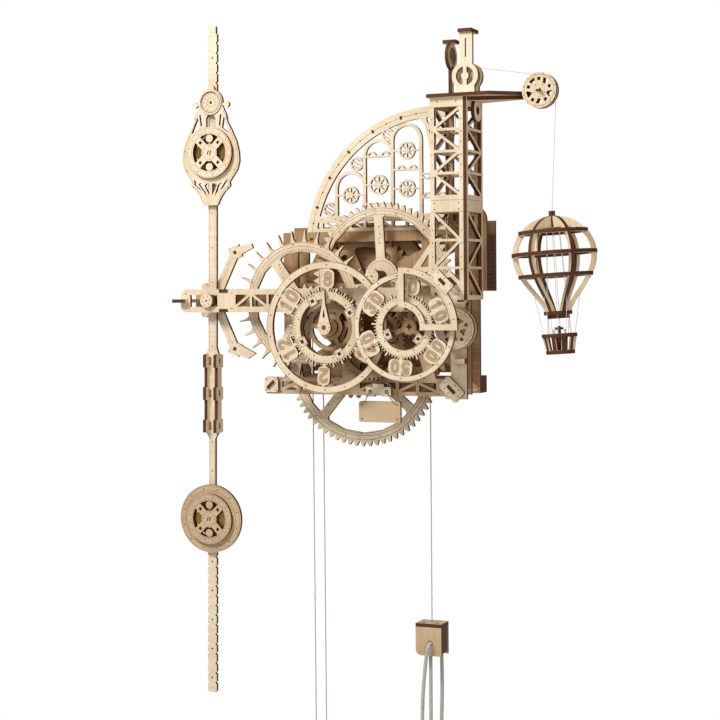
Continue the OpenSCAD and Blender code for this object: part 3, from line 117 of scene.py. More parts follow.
def mesh_piece(name, verts, faces, material, body, smooth=False):
    mesh = bpy.data.meshes.new(name)
    mesh.from_pydata([Vector(v) * MM for v in verts], [], faces)
    mesh.validate()
    if smooth:
        mesh.polygons.foreach_set("use_smooth", [True] * len(mesh.polygons))
    mesh.materials.append(material)
    piece = link(name, mesh)
    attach(piece, body)
    return piece


# Materials
def new_material(name):
    material = bpy.data.materials.new(name)
    material.use_nodes = True
    tree = material.node_tree
    tree.nodes.clear()
    out = tree.nodes.new("ShaderNodeOutputMaterial")
    shader = tree.nodes.new("ShaderNodeBsdfPrincipled")
    tree.links.new(shader.outputs[0], out.inputs[0])
    return material, tree, shader


def srgb(r, g, b):
    """A colour written as the 0-255 values seen on screen."""
    def linear(v):
        v /= 255.0
        return v / 12.92 if v <= 0.04045 else ((v + 0.055) / 1.055) ** 2.4
    return (linear(r), linear(g), linear(b), 1.0)


def node(tree, kind, **values):
    made = tree.nodes.new(kind)
    for key, value in values.items():
        if key.startswith("in_"):
            made.inputs[int(key[3:])].default_value = value
        else:
            setattr(made, key, value)
    return made


def math_node(tree, operation, a, b=None, clamp=False):
    made = node(tree, "ShaderNodeMath", operation=operation, use_clamp=clamp)
    for i, value in enumerate((a, b)):
        if value is None:
            continue
        if isinstance(value, (int, float)):
            made.inputs[i].default_value = value
        else:
            tree.links.new(value, made.inputs[i])
    return made.outputs[0]


def mix_colour(tree, share, a, b):
    made = node(tree, "ShaderNodeMix", data_type="RGBA")
    for socket, value in ((made.inputs[0], share), (made.inputs[6], a), (made.inputs[7], b)):
        if isinstance(value, (int, float, tuple)):
            socket.default_value = value
        else:
            tree.links.new(value, socket)
    return made.outputs[2]


FACE = srgb(244, 229, 204)
FACE_WARM = srgb(222, 195, 157)
SHADED_FACE = srgb(200, 166, 126)
SHADED_WARM = srgb(150, 110, 76)
EDGE = srgb(108, 64, 37)
EDGE_DARK = srgb(56, 31, 19)


# How far a normal has to lean along an axis to count as facing it
FACING_SHARE = 0.7


def within(tree, value, low, high):
    """1 where value lies between low and high."""
    above = math_node(tree, "GREATER_THAN", value, low)
    below = math_node(tree, "LESS_THAN", value, high)
    return math_node(tree, "MULTIPLY", above, below)


def ply(name, axis="y", grain="x", tone=0.0, zones=(), face=FACE, edge=EDGE, warm=FACE_WARM):
    """Birch plywood: pale on the sheet's faces, burnt on its laser cut edges. axis is the sheet's normal:
    x, y or z, "yz" or "not_y" for crossing sheets, or "none" where all is pale. zones lists (x, y or z, low,
    high, axis) for the parts of a node whose sheets lie another way."""
    material, tree, shader = new_material(name)
    coords = node(tree, "ShaderNodeTexCoord")
    place = node(tree, "ShaderNodeSeparateXYZ")
    tree.links.new(coords.outputs["Object"], place.inputs[0])
    normal = node(tree, "ShaderNodeSeparateXYZ")
    tree.links.new(coords.outputs["Normal"], normal.inputs[0])
    index = {"x": 0, "y": 1, "z": 2}

    def looks_along(which, comparison="GREATER_THAN"):
        along = math_node(tree, "ABSOLUTE", normal.outputs[index[which]])
        return math_node(tree, comparison, along, FACING_SHARE)

    def on_face(which):
        """1 on the faces of sheets that lie this way, and 0 on their edges."""
        if which == "none":
            return math_node(tree, "GREATER_THAN", place.outputs[0], -100.0)
        if which == "yz":
            return math_node(tree, "MAXIMUM", looks_along("y"), looks_along("z"))
        if which == "not_y":
            return looks_along("y", "LESS_THAN")
        return looks_along(which)

    mask = on_face(axis)
    for along, low, high, other in zones:
        inside = within(tree, place.outputs[index[along]], low * MM, high * MM)
        blend = node(tree, "ShaderNodeMix", data_type="FLOAT")
        tree.links.new(inside, blend.inputs[0])
        tree.links.new(mask, blend.inputs[2])
        tree.links.new(on_face(other), blend.inputs[3])
        mask = blend.outputs[0]
    # Grain: long soft bands, fine dashes and a little mottling
    stretch = {"x": (14, 260, 260), "y": (260, 14, 260), "z": (260, 260, 14)}[grain]
    mapping = node(tree, "ShaderNodeMapping")
    mapping.inputs["Scale"].default_value = stretch
    mapping.inputs["Location"].default_value = (tone * 7.1, tone * 3.3, tone * 5.7)
    tree.links.new(coords.outputs["Object"], mapping.inputs[0])
    fine = node(tree, "ShaderNodeTexNoise")
    fine.inputs["Scale"].default_value = 1.6
    fine.inputs["Detail"].default_value = 5.0
    fine.inputs["Roughness"].default_value = 0.65
    tree.links.new(mapping.outputs[0], fine.inputs["Vector"])
    broad = node(tree, "ShaderNodeTexNoise")
    broad.inputs["Scale"].default_value = 34.0
    broad.inputs["Detail"].default_value = 2.0
    tree.links.new(coords.outputs["Object"], broad.inputs["Vector"])
    streak = math_node(tree, "MULTIPLY", math_node(tree, "SUBTRACT", fine.outputs[0], 0.5), 1.5)
    cloud = math_node(tree, "MULTIPLY", math_node(tree, "SUBTRACT", broad.outputs[0], 0.5), 1.1)
    share = math_node(tree, "ADD", math_node(tree, "ADD", streak, cloud), 0.35 + tone * 0.25, clamp=True)
    wood = mix_colour(tree, share, face, warm)
    # Burnt edge: two glue lines across the sheet, and soot that varies along it
    soot = node(tree, "ShaderNodeTexNoise")
    soot.inputs["Scale"].default_value = 420.0
    soot.inputs["Detail"].default_value = 3.0
    tree.links.new(coords.outputs["Object"], soot.inputs["Vector"])
    burnt = mix_colour(tree, math_node(tree, "MULTIPLY", soot.outputs[0], 0.9, clamp=True), edge, EDGE_DARK)
    colour = mix_colour(tree, mask, burnt, wood)
    tree.links.new(colour, shader.inputs["Base Color"])
    shader.inputs["Roughness"].default_value = 0.62
    shader.inputs["Specular IOR Level"].default_value = 0.25
    bump = node(tree, "ShaderNodeBump")
    bump.inputs["Strength"].default_value = 0.18
    bump.inputs["Distance"].default_value = 0.0003
    tree.links.new(fine.outputs[0], bump.inputs["Height"])
    tree.links.new(bump.outputs[0], shader.inputs["Normal"])
    return material


def plain(name, colour, roughness=0.7, metallic=0.0, noise=0.0, scale=900.0, other=None):
    material, tree, shader = new_material(name)
    shader.inputs["Roughness"].default_value = roughness
    shader.inputs["Metallic"].default_value = metallic
    shader.inputs["Specular IOR Level"].default_value = 0.3
    coords = node(tree, "ShaderNodeTexCoord")
    speckle = node(tree, "ShaderNodeTexNoise")
    speckle.inputs["Scale"].default_value = scale
    speckle.inputs["Detail"].default_value = 3.0
    tree.links.new(coords.outputs["Object"], speckle.inputs["Vector"])
    share = math_node(tree, "MULTIPLY", speckle.outputs[0], noise, clamp=True)
    other = other or tuple(c * 0.6 for c in colour[:3]) + (1.0,)
    tree.links.new(mix_colour(tree, share, colour, other), shader.inputs["Base Color"])
    bump = node(tree, "ShaderNodeBump")
    bump.inputs["Strength"].default_value = 0.15
    bump.inputs["Distance"].default_value = 0.0002
    tree.links.new(speckle.outputs[0], bump.inputs["Height"])
    tree.links.new(bump.outputs[0], shader.inputs["Normal"])
    return material


BURN = plain("engraved_line", srgb(128, 84, 56), 0.8, noise=0.8)
# Pin holes as flat dark marks: burnt walls, with painted shade for the depth of the hole
HOLE_BURN_AND_SHADE = plain("pin_hole", srgb(58, 34, 22), 0.9, noise=0.5)
TAN = plain("engraved_fill", srgb(217, 190, 154), 0.75, noise=0.6, scale=700)
TENON = plain("tenon_end", srgb(92, 52, 34), 0.8, noise=0.9, scale=1500)
ROPE = plain("rope", srgb(226, 225, 220), 0.85, noise=1.0, scale=700, other=srgb(146, 142, 132))
CORD_MAT = plain("cord", srgb(196, 186, 164), 0.8, noise=0.5, scale=1500)
THREAD = plain("thread", srgb(226, 222, 212), 0.8, noise=0.3, scale=1500)
COIN = plain("coin", srgb(176, 138, 70), 0.35, metallic=0.85, noise=0.5, scale=500)
WIRE = plain("wire", srgb(170, 160, 146), 0.4, metallic=0.8, noise=0.3)

Y_SHEETS = """front_beam front_lower corner_plates middle_frame back_frame arm_rear minute_bridge arch_window
arch_fretwork tower_front tower_back sector_frame hour_pointer sign_bracket name_plate pendulum_rod anchor
upper_weight_front upper_weight_back bob_front bob_back great_wheel cord_wheel winding_wheel upper_wheel
escape_wheel hour_ring hour_wheel minute_ring inter_wheel jib_wheel top_pulley thread_drum right_column
loop_pulley dial_posts pendulum_arbor great_arbor upper_arbor escape_arbor minute_arbor
wall_spacers""".split()
# Nodes whose sheets lie another way, or in several ways: normal, grain and zones
ZONED = {
    "stretchers": ("not_y", "z", ()),
    "tower_sides": ("x", "z", ()),
    "rod_sleeve": ("y", "z", ()),
    "jib": ("y", "x", (("z", 107.9, 111.1, "z"), ("z", 104.8, 107.95, "z"), ("y", -60.1, -56.9, "yz"))),
    "pulley_bracket": ("y", "z", (("z", 159.5, 170.0, "z"),)),
    "weight_block": ("y", "z", (("z", -335.1, -331.0, "z"),)),
    "side_cover": ("y", "z", ()),
}


def tone_of(name):
    """A fixed share from 0 to 1 for each name, so that sheets differ a little."""
    return (sum((i + 3) * ord(c) for i, c in enumerate(name)) % 97) / 97.0


def dress(name, material):
    NODES[name].data.materials.clear()
    NODES[name].data.materials.append(material)


# Low pieces, coloured a little darker as painted shade for the weaker light low down
LOWER_SHADE_FACE = srgb(214, 190, 156)
LOWER_SHADE_WARM = srgb(186, 154, 114)
LOWER = ("bob_front", "name_plate", "weight_block", "rod_sleeve", "front_lower")
# Sheets deep in the movement, coloured darker and browner as painted shade for their recesses
SHADED = """middle_frame back_frame arm_rear minute_bridge tower_back upper_weight_back bob_back cord_wheel
winding_wheel hour_wheel inter_wheel dial_posts great_arbor minute_arbor wall_spacers side_cover""".split()
for name in Y_SHEETS + list(ZONED):
    axis, grain, zones = ZONED.get(name, ("y", "z" if tone_of(name) > 0.5 else "x", ()))
    face, warm = (SHADED_FACE, SHADED_WARM) if name in SHADED else (FACE, FACE_WARM)
    # Painted shade for the low pieces
    if name in LOWER:
        face, warm = LOWER_SHADE_FACE, LOWER_SHADE_WARM
    dress(name, ply("ply_" + name, axis, grain, tone_of(name), zones, face, EDGE, warm))
dress("upper_weight_coins", COIN)
dress("bob_coins", COIN)
dress("sign_links", WIRE)


PALE = ply("ply_pale", "none", "z", 0.2)
SOOT = plain("ply_edge", EDGE, 0.7, noise=1.0, scale=260.0, other=EDGE_DARK)


class Plates:
    """A closed mesh of several plates, pale on the sheet's faces and burnt on its edges. turn places them: it
    is a function from a plate's points to points in the world."""

    def __init__(self, turn=None):
        self.verts, self.faces, self.kinds, self.turn = [], [], [], turn or (lambda p: p)

    def add(self, points, faces, kinds):
        first = len(self.verts)
        self.verts.extend(self.turn(Vector(p)) for p in points)
        self.faces.extend(tuple(first + i for i in face) for face in faces)
        self.kinds.extend(kinds)

    def band(self, outer, inner, out, closed=False):
        """A plate between two rows of points. out gives the place of each (u, v) point on either face."""
        n = len(outer)
        points = [out(p, side) for side in (0, 1) for row in (outer, inner) for p in row]
        spans = range(n if closed else n - 1)
        faces, kinds = [], []
        for i in spans:
            k = (i + 1) % n
            faces += [(i, n + i, n + k, k), (2 * n + i, 2 * n + k, 3 * n + k, 3 * n + i),
                      (i, k, 2 * n + k, 2 * n + i), (n + i, 3 * n + i, 3 * n + k, n + k)]
            kinds += [0, 0, 1, 1]
        if not closed:
            faces += [(0, 2 * n, 3 * n, n), (n - 1, 2 * n - 1, 4 * n - 1, 3 * n - 1)]
            kinds += [1, 1]
        self.add(points, faces, kinds)

    def ring(self, r_out, r_in, z0, z1, sides=48):
        angles = [360 * k / sides for k in range(sides)]
        self.band([polar(r_out, a) for a in angles], [polar(r_in, a) for a in angles],
                  lambda p, side: (p[0], p[1], z1 if side else z0), closed=True)

    def box(self, low, high, pale="z"):
        """A box between two corners. pale names the axis that its sheet faces look along."""
        corners = [(x, y, z) for z in (low[2], high[2]) for y in (low[1], high[1]) for x in (low[0], high[0])]
        faces = [(0, 2, 3, 1), (4, 5, 7, 6), (0, 1, 5, 4), (2, 6, 7, 3), (0, 4, 6, 2), (1, 3, 7, 5)]
        self.add(corners, faces, [0 if "zzyyxx"[i] == pale else 1 for i in range(6)])

    def finish(self, name, body):
        mesh = bpy.data.meshes.new(name)
        mesh.from_pydata([v * MM for v in self.verts], [], self.faces)
        mesh.materials.append(PALE)
        mesh.materials.append(SOOT)
        mesh.polygons.foreach_set("material_index", self.kinds)
        shaped = bmesh.new()
        shaped.from_mesh(mesh)
        bmesh.ops.recalc_face_normals(shaped, faces=shaped.faces)
        shaped.to_mesh(mesh)
        shaped.free()
        piece = link(name, mesh)
        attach(piece, body)
        return piece


# Balloon: heights are counted up from its crown, and those of HOOPS down from it
BALLOON_LEAN, BALLOON_TURN = math.radians(3.5), math.radians(12)
BALLOON_R, BALLOON_H, NECK_R, RIBS = 33.6, 76.0, 10.6, 6
WIDEST = 0.42
HOOPS = (12.7, 29.9, 47.5)
BASKET_TOP, BASKET_BOTTOM, BASKET_R = -97.0, -110.4, 14.2


def in_balloon(p):
    """From the balloon's own axes, with the crown at their origin, to the world."""
    x = p.x * math.cos(BALLOON_TURN) - p.y * math.sin(BALLOON_TURN)
    y = p.x * math.sin(BALLOON_TURN) + p.y * math.cos(BALLOON_TURN)
    return Vector((BALLOON[0] + x * math.cos(BALLOON_LEAN) - p.z * math.sin(BALLOON_LEAN), BALLOON[1] + y,
                   BALLOON[2] + x * math.sin(BALLOON_LEAN) + p.z * math.cos(BALLOON_LEAN)))


def balloon_out(z):
    """The balloon's radius at a height: a dome down to the widest place, then a curve in to the neck."""
    t = -z / BALLOON_H
    if t < WIDEST:
        return BALLOON_R * math.sqrt(1 - ((WIDEST - t) / WIDEST) ** 2.1)
    inward = math.radians(90 * (t - WIDEST) / (1 - WIDEST))
    return NECK_R + (BALLOON_R - NECK_R) * max(0.0, math.cos(inward)) ** 1.3


def upright(a, half):
    """Places a plate that stands on its edge and points away from the balloon's axis at an angle."""
    return lambda p, side: (p[0] * math.cos(a) - half * (1 - 2 * side) * math.sin(a),
                            p[0] * math.sin(a) + half * (1 - 2 * side) * math.cos(a), p[1])


def make_ribs():
    """Six ribs, each a curved band that thickens towards the crown, with the hoops and the knob."""
    heights = [-BALLOON_H * (k / 40) ** 1.6 for k in range(1, 41)]
    ribs = Plates(in_balloon)
    for i in range(RIBS):
        a = 2 * math.pi * i / RIBS
        outer, inner = [(3.0, 0.0)], [(3.0, -9.5)]
        for z in heights:
            band = 4.4 + 5.1 * max(0.0, 1 + z / (0.3 * BALLOON_H)) ** 1.5
            outer.append((balloon_out(z), z))
            inner.append((max(balloon_out(z) - band, 3.2), min(z, -9.5 + 0.002 * z)))
        ribs.band(outer, inner, upright(a, SHEET / 2))
    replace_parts(ribs.finish("balloon_rib_plates", "balloon"), "balloon_ribs")
    hoops = Plates(in_balloon)
    for z in HOOPS:
        hoops.ring(balloon_out(-z) + 0.6, balloon_out(-z) - 4.4, -z - 1.5, -z + 1.5, 72)
    hoops.ring(4.3, 0.8, -9.4, -0.1, 20)
    hoops.ring(2.6, 0.8, 0.0, 4.0, 20)
    hoops.ring(NECK_R + 0.8, NECK_R - 4.6, -BALLOON_H - 3, -BALLOON_H, 40)
    hoops.ring(NECK_R - 1.4, NECK_R - 6, -BALLOON_H - 6, -BALLOON_H - 3, 40)
    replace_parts(hoops.finish("balloon_hoop_rings", "balloon"), "balloon_hoops")


def make_basket():
    """Rim, floor, ten slats, and the burner on its stem."""
    basket = Plates(in_balloon)
    basket.ring(BASKET_R, BASKET_R - 5, BASKET_TOP, BASKET_TOP + 3, 40)
    basket.ring(BASKET_R - 2.6, 0.6, BASKET_BOTTOM, BASKET_BOTTOM + 3, 40)
    for i in range(10):
        a = math.radians(36 * i)
        low, high = BASKET_R - 3.6, BASKET_R - 1.6
        basket.band([(low + 0.8, BASKET_BOTTOM + 2.8), (high + 0.8, BASKET_TOP + 0.3)],
                    [(low - 0.8, BASKET_BOTTOM + 2.8), (high - 0.8, BASKET_TOP + 0.3)], upright(a, 1.6))
    basket.ring(1.4, 0.5, BASKET_BOTTOM + 3, BASKET_TOP + 9, 12)
    basket.ring(3.4, 1.4, BASKET_TOP + 6, BASKET_TOP + 8, 16)
    for x in (-4.4, 4.4):
        basket.box((x - 0.7, -1.5, BASKET_TOP + 1.5), (x + 0.7, 1.5, BASKET_TOP + 6.4), "y")
    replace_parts(basket.finish("balloon_basket_work", "balloon"), "balloon_basket")


def make_threads():
    """Outer threads from the ribs to the basket's rim, and inner ones from the crown."""
    verts, faces = [], []
    rim, tied = BASKET_TOP + 3.1, -64.0
    to_ribs = [((BASKET_R - 1.6, rim), (balloon_out(tied) + 0.1, tied), 360 * i / RIBS) for i in range(RIBS)]
    to_crown = [((BASKET_R - 3.6, rim), (5.6, -9.0), 30 + 360 * i / RIBS) for i in range(RIBS)]
    for low, high, a in to_ribs + to_crown:
        ends = [in_balloon(Vector((*polar(r, a), z))) for r, z in (low, high)]
        n, b = carried_frames(ends)[0][1:]
        first = len(verts)
        verts += [e + (n * math.cos(math.pi * k / 3) + b * math.sin(math.pi * k / 3)) * 0.2 for e in ends
                  for k in range(6)]
        faces += [(first + k, first + (k + 1) % 6, first + 6 + (k + 1) % 6, first + 6 + k) for k in range(6)]
        faces += [tuple(first + k for k in range(5, -1, -1)), tuple(first + 6 + k for k in range(6))]
    piece = mesh_piece("balloon_thread_runs", verts, faces, THREAD, "balloon")
    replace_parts(piece, "balloon_threads")


def make_coin_post():
    """Thin post edge on to the viewer, with a disc in its head, and the coin that the disc holds."""
    x, y, z = COIN_X, -COIN_DEPTH, COIN_Z
    deck_top = 111.0
    post = Plates()
    post.box((x - 1.5, y - 2.5, deck_top), (x + 1.5, y + 2.5, z - 8), "x")
    post.box((x - 5.5, y - 5, z + 10.3), (x + 5.5, y + 5, z + 13.3), "z")
    post.box((x - 4, y - 4, deck_top), (x + 4, y + 4, deck_top + 2.5), "y")
    post.turn = lambda p: Vector((x + p.z, y + p.x, z + p.y))
    post.ring(10.9, 7.4, -1.5, 1.5, 48)
    post.ring(7.5, 0.3, -1.5, -0.9, 48)
    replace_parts(post.finish("coin_post_plates", "frame"), "coin_post")
    profile = [(0.2, 0.0), (7.2, 0.0), (7.4, 0.3), (7.4, 1.7), (7.2, 2.0), (0.2, 2.0)]
    coin = lathe("post_coin", profile, (0, 0, 0), COIN, "frame", 48, "y")
    for vertex in coin.data.vertices:
        vertex.co = Vector((x - 0.7, y, z)) * MM + Vector((-vertex.co.y, vertex.co.x, vertex.co.z))


# Cords, on the routes of the part's source
def carried_frames(points):
    """Tangent, normal and binormal at each point, turning as little as they can."""
    tangents = []
    for i in range(len(points)):
        tangents.append((points[min(i + 1, len(points) - 1)] - points[max(i - 1, 0)]).normalized())
    side = Vector((0.31, 0.9, 0.2))
    frames = []
    for t in tangents:
        side = (side - t * side.dot(t)).normalized()
        frames.append((t, side, t.cross(side)))
    return frames


# A run longer than this is taut and stays straight
TAUT_RUN = 60


def resampled(points, step):
    """A Catmull-Rom curve through the points, in even steps."""
    points = [Vector(p) for p in points]
    dense = []
    for i in range(len(points) - 1):
        p0, p1, p2, p3 = points[max(i - 1, 0)], points[i], points[i + 1], points[min(i + 2, len(points) - 1)]
        count = max(2, int((p2 - p1).length / step) + 1)
        for k in range(count):
            t = k / count
            if (p2 - p1).length > TAUT_RUN:
                dense.append(p1.lerp(p2, t))
                continue
            dense.append(0.5 * ((2 * p1) + (p2 - p0) * t + (2 * p0 - 5 * p1 + 4 * p2 - p3) * t * t
                                + (3 * p1 - p0 - 3 * p2 + p3) * t ** 3))
    dense.append(points[-1])
    return dense


def rope_mesh(name, points, radius, material, body, strands, pitch, depth, sides=20, braid=False):
    """A tube whose surface bulges in strands that wind round it, or in two crossing sets for a braid."""
    frames = carried_frames(points)
    verts, faces = [], []
    run = 0.0
    for i, (point, (t, n, b)) in enumerate(zip(points, frames)):
        if i:
            run += (point - points[i - 1]).length
        for k in range(sides):
            a = 2 * math.pi * k / sides
            twist = 2 * math.pi * run / pitch
            bulge = abs(math.cos(0.5 * strands * a - 0.5 * strands * twist))
            if braid:
                bulge = max(bulge * 0.98, abs(math.cos(0.5 * strands * a + 0.5 * strands * twist)))
            r = radius * (1.0 - depth + depth * bulge)
            verts.append(point + (n * math.cos(a) + b * math.sin(a)) * r)
    for i in range(len(points) - 1):
        for k in range(sides):
            a, d = i * sides + k, i * sides + (k + 1) % sides
            faces.append((a, d, d + sides, a + sides))
    faces.append(tuple(range(sides - 1, -1, -1)))
    faces.append(tuple((len(points) - 1) * sides + k for k in range(sides)))
    return mesh_piece(name, verts, faces, material, body, smooth=True)


CORD_RUN = 55.2
CORD_Y = -24.5
LOOP_RUN = 5
LOOP = (CORD[0] - CORD_RUN + LOOP_RUN, -440.0)
cord_right, loop_left, loop_right = CORD[0] + CORD_RUN, LOOP[0] - LOOP_RUN, LOOP[0] + LOOP_RUN
PEG_BOTTOM = -129.52
cord_route = ([(cord_right, -332), (cord_right, -240), (cord_right, -140)]
              + [polar(CORD_RUN, a, CORD) for a in range(0, 181, 10)]
              + [(loop_left, -140), (loop_left, -240), (loop_left, -340)]
              + [polar(LOOP_RUN, a, LOOP) for a in range(180, 361, 20)]
              + [(loop_right, -340), (loop_right, -240), (loop_right, PEG_BOTTOM)])
cord_points = resampled([(x, CORD_Y, z) for x, z in cord_route], 1.2)
cord_points.reverse()
drive_cord = rope_mesh("drive_cord_twist", cord_points, 0.5, CORD_MAT, "frame", 3, 3.2, 0.3, sides=10)
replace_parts(drive_cord, "drive_cord")


rope_route = [(28.5, -36, -446), (28.6, -36.2, -430), (29, -36.6, -410), (30, -37, -390), (32, -37.4, -370),
              (34, -38, -356), (35.4, -37.4, -350.6), (35.7, -35.2, -348.7), (35.7, -32, -348.6),
              (35.7, -24, -348.6), (35.7, -16.5, -348.6), (35.9, -13.2, -349.2), (36.4, -11.4, -352),
              (37, -11.2, -358), (38, -12.5, -372), (39, -15, -392), (39.6, -18, -412), (39.8, -20, -432),
              (39.4, -20.8, -440), (37.6, -21.4, -445.4), (35.2, -21.8, -446.6), (33, -22.2, -444.6),
              (31.8, -22.6, -439), (31.6, -23, -428), (31.8, -23.6, -400), (32, -24, -375), (32, -24, -359.8)]
rope_points = resampled(rope_route, 0.7)
rope_points.reverse()
weight_rope = rope_mesh("weight_rope_braid", rope_points, 1.6, ROPE, "frame", 8, 9.0, 0.16, sides=24,
                        braid=True)
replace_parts(weight_rope, "weight_rope")


def lathe(name, profile, place, material, body, sides=24, axis="z"):
    """A turned piece from (radius, height) pairs about its axis, closed at both ends."""
    verts, faces = [], []
    for r, h in profile:
        for k in range(sides):
            a = 2 * math.pi * k / sides
            x, y = r * math.cos(a), r * math.sin(a)
            spot = (x, y, h) if axis == "z" else (x, -h, y)
            verts.append(Vector(place) + Vector(spot))
    for i in range(len(profile) - 1):
        for k in range(sides):
            a, d = i * sides + k, i * sides + (k + 1) % sides
            faces.append((a, d, d + sides, a + sides) if axis == "z" else (a + sides, d + sides, d, a))
    faces.append(tuple(range(sides - 1, -1, -1)))
    faces.append(tuple((len(profile) - 1) * sides + k for k in range(sides)))
    return mesh_piece(name, verts, faces, material, body, smooth=True)


knot_profile = [(1.5, 0.2), (2.6, -0.8), (3.2, -2.4), (2.9, -4.0), (3.1, -5.2), (2.3, -6.4), (1.9, -6.9)]
knot = lathe("rope_knot", knot_profile, rope_route[0], ROPE, "frame")

THREAD_R = 0.3
PULLEY_RUN, JIB_RUN = 8.25, 12.35


def around(c, r, y, angles):
    """Points round a wheel's centre at one depth."""
    return [(polar(r, a, c)[0], y, polar(r, a, c)[1]) for a in angles]


thread_route = ([(DRUM[0] - 14.6, -74.5, DRUM[1] + 1), (PULLEY[0] - PULLEY_RUN, -66, PULLEY[1] - 2)]
                + around(PULLEY, PULLEY_RUN, -66, range(170, 89, -20))
                + around(JIB, JIB_RUN, -65, range(80, -1, -20)))
fixed_thread = rope_mesh("hoist_thread_run", resampled(thread_route, 2.0), THREAD_R, THREAD, "frame",
                         2, 2.4, 0.3, sides=8)
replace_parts(fixed_thread, "hoist_thread")
KNOB_TOP, LIFT_RANGE = BALLOON[2] + 4.3, 70.0
hang = [(JIB[0] + JIB_RUN, -65, JIB[1]), (JIB[0] + JIB_RUN - 0.2, -65.1, 90.0),
        (BALLOON[0], BALLOON[1], KNOB_TOP)]
hanging_thread = rope_mesh("hoist_thread_hanging", resampled(hang, 2.0), THREAD_R, THREAD, "frame",
                           2, 2.4, 0.3, sides=8)
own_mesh(hanging_thread)


# Sleeve of the pendulum's rod, about the pivot: its plates' left sides, and the heights of its ears
SLEEVE_TOP, SLEEVE_BOTTOM = -47.0, -116.0
SLEEVE_LEFTS = (-6.6, 3.6)
CLAMPS = (SLEEVE_TOP - 6, (SLEEVE_TOP + SLEEVE_BOTTOM) / 2, SLEEVE_BOTTOM + 6)


def in_pendulum(p):
    """From the rod's own axes at the pivot to the world."""
    return Vector((PIVOT[0] + p.x * math.cos(LEAN) + p.z * math.sin(LEAN), p.y,
                   PIVOT[1] - p.x * math.sin(LEAN) + p.z * math.cos(LEAN)))


def make_sleeve():
    """Two plates on edge beside the rod, each with three pairs of ears."""
    sleeve = Plates(in_pendulum)
    for x in SLEEVE_LEFTS:
        sleeve.box((x, -63.4, SLEEVE_BOTTOM), (x + SHEET, -56.0, SLEEVE_TOP), "x")
        for z in CLAMPS:
            sleeve.box((x - 0.05, -66.0, z - 5.6), (x + SHEET + 0.05, -53.4, z + 5.6), "x")
    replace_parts(sleeve.finish("rod_sleeve_plates", "pendulum"), "rod_sleeve")


def recut(name, body, moved):
    """A node's own form with some of its points moved, given and taken in millimetres."""
    source = NODES[name]
    mesh = source.data.copy()
    for vertex in mesh.vertices:
        vertex.co = moved((source.matrix_world @ vertex.co) / MM) * MM
    piece = link(name + "_recut", mesh)
    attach(piece, body)
    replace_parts(piece, name)


CAP_BOTTOM, CAP_LEFT, CAP_RIGHT = 159.85, 79.2, 90.8
PLATE_TOP, PLATE_RISE, DECK_BOTTOM, CHEEK_END = 102, 5.9, 107.96, 116


def smaller_cap(p):
    """The corners of the pulley bracket's cap come in."""
    if p.z < CAP_BOTTOM or 78 < p.x < 95:
        return p
    return Vector((CAP_LEFT if p.x < 80 else CAP_RIGHT, p.y, p.z))


def raised_plate(p):
    """The jib's lower plate goes up under its deck, and the cheek's round end between the two flattens."""
    if p.x <= 60:
        return p
    if PLATE_TOP < p.z < DECK_BOTTOM and p.x < CHEEK_END:
        return Vector((p.x, p.y, PLATE_TOP + PLATE_RISE + (p.z - PLATE_TOP) * 0.008))
    return p + Vector((0, 0, PLATE_RISE if p.z < PLATE_TOP + 1 else 0.0))


def narrower_column(p):
    """The right column's right edge comes in."""
    return p + Vector((-3.6 if p.x > 85 else 0.0, 0, 0))


def make_anchor_pegs():
    """The ends of two square pegs, which fill the holes in the anchor's pads."""
    half = 1.49
    pegs = Plates()
    for s in (-1, 1):
        def turn(p, s=s):
            x, z = shifted((PAD_X, PAD_Z * s), p.x, p.z, PAD_TURN * s)
            return in_pendulum(Vector((x, p.y, z)))
        pegs.turn = turn
        pegs.box((-half, -ANCHOR_DEPTH, -half), (half, SHEET - ANCHOR_DEPTH, half), "none")
    pegs.finish("anchor_pegs", "pendulum")


make_sleeve()
make_anchor_pegs()
recut("pulley_bracket", "frame", smaller_cap)
recut("jib", "frame", raised_plate)
recut("right_column", "frame", narrower_column)
make_ribs()
make_basket()
make_threads()
make_coin_post()


# Engraved lines, pin holes and digits: thin inlays that lie on the sheets
LIFT = 0.035
inlays = {}


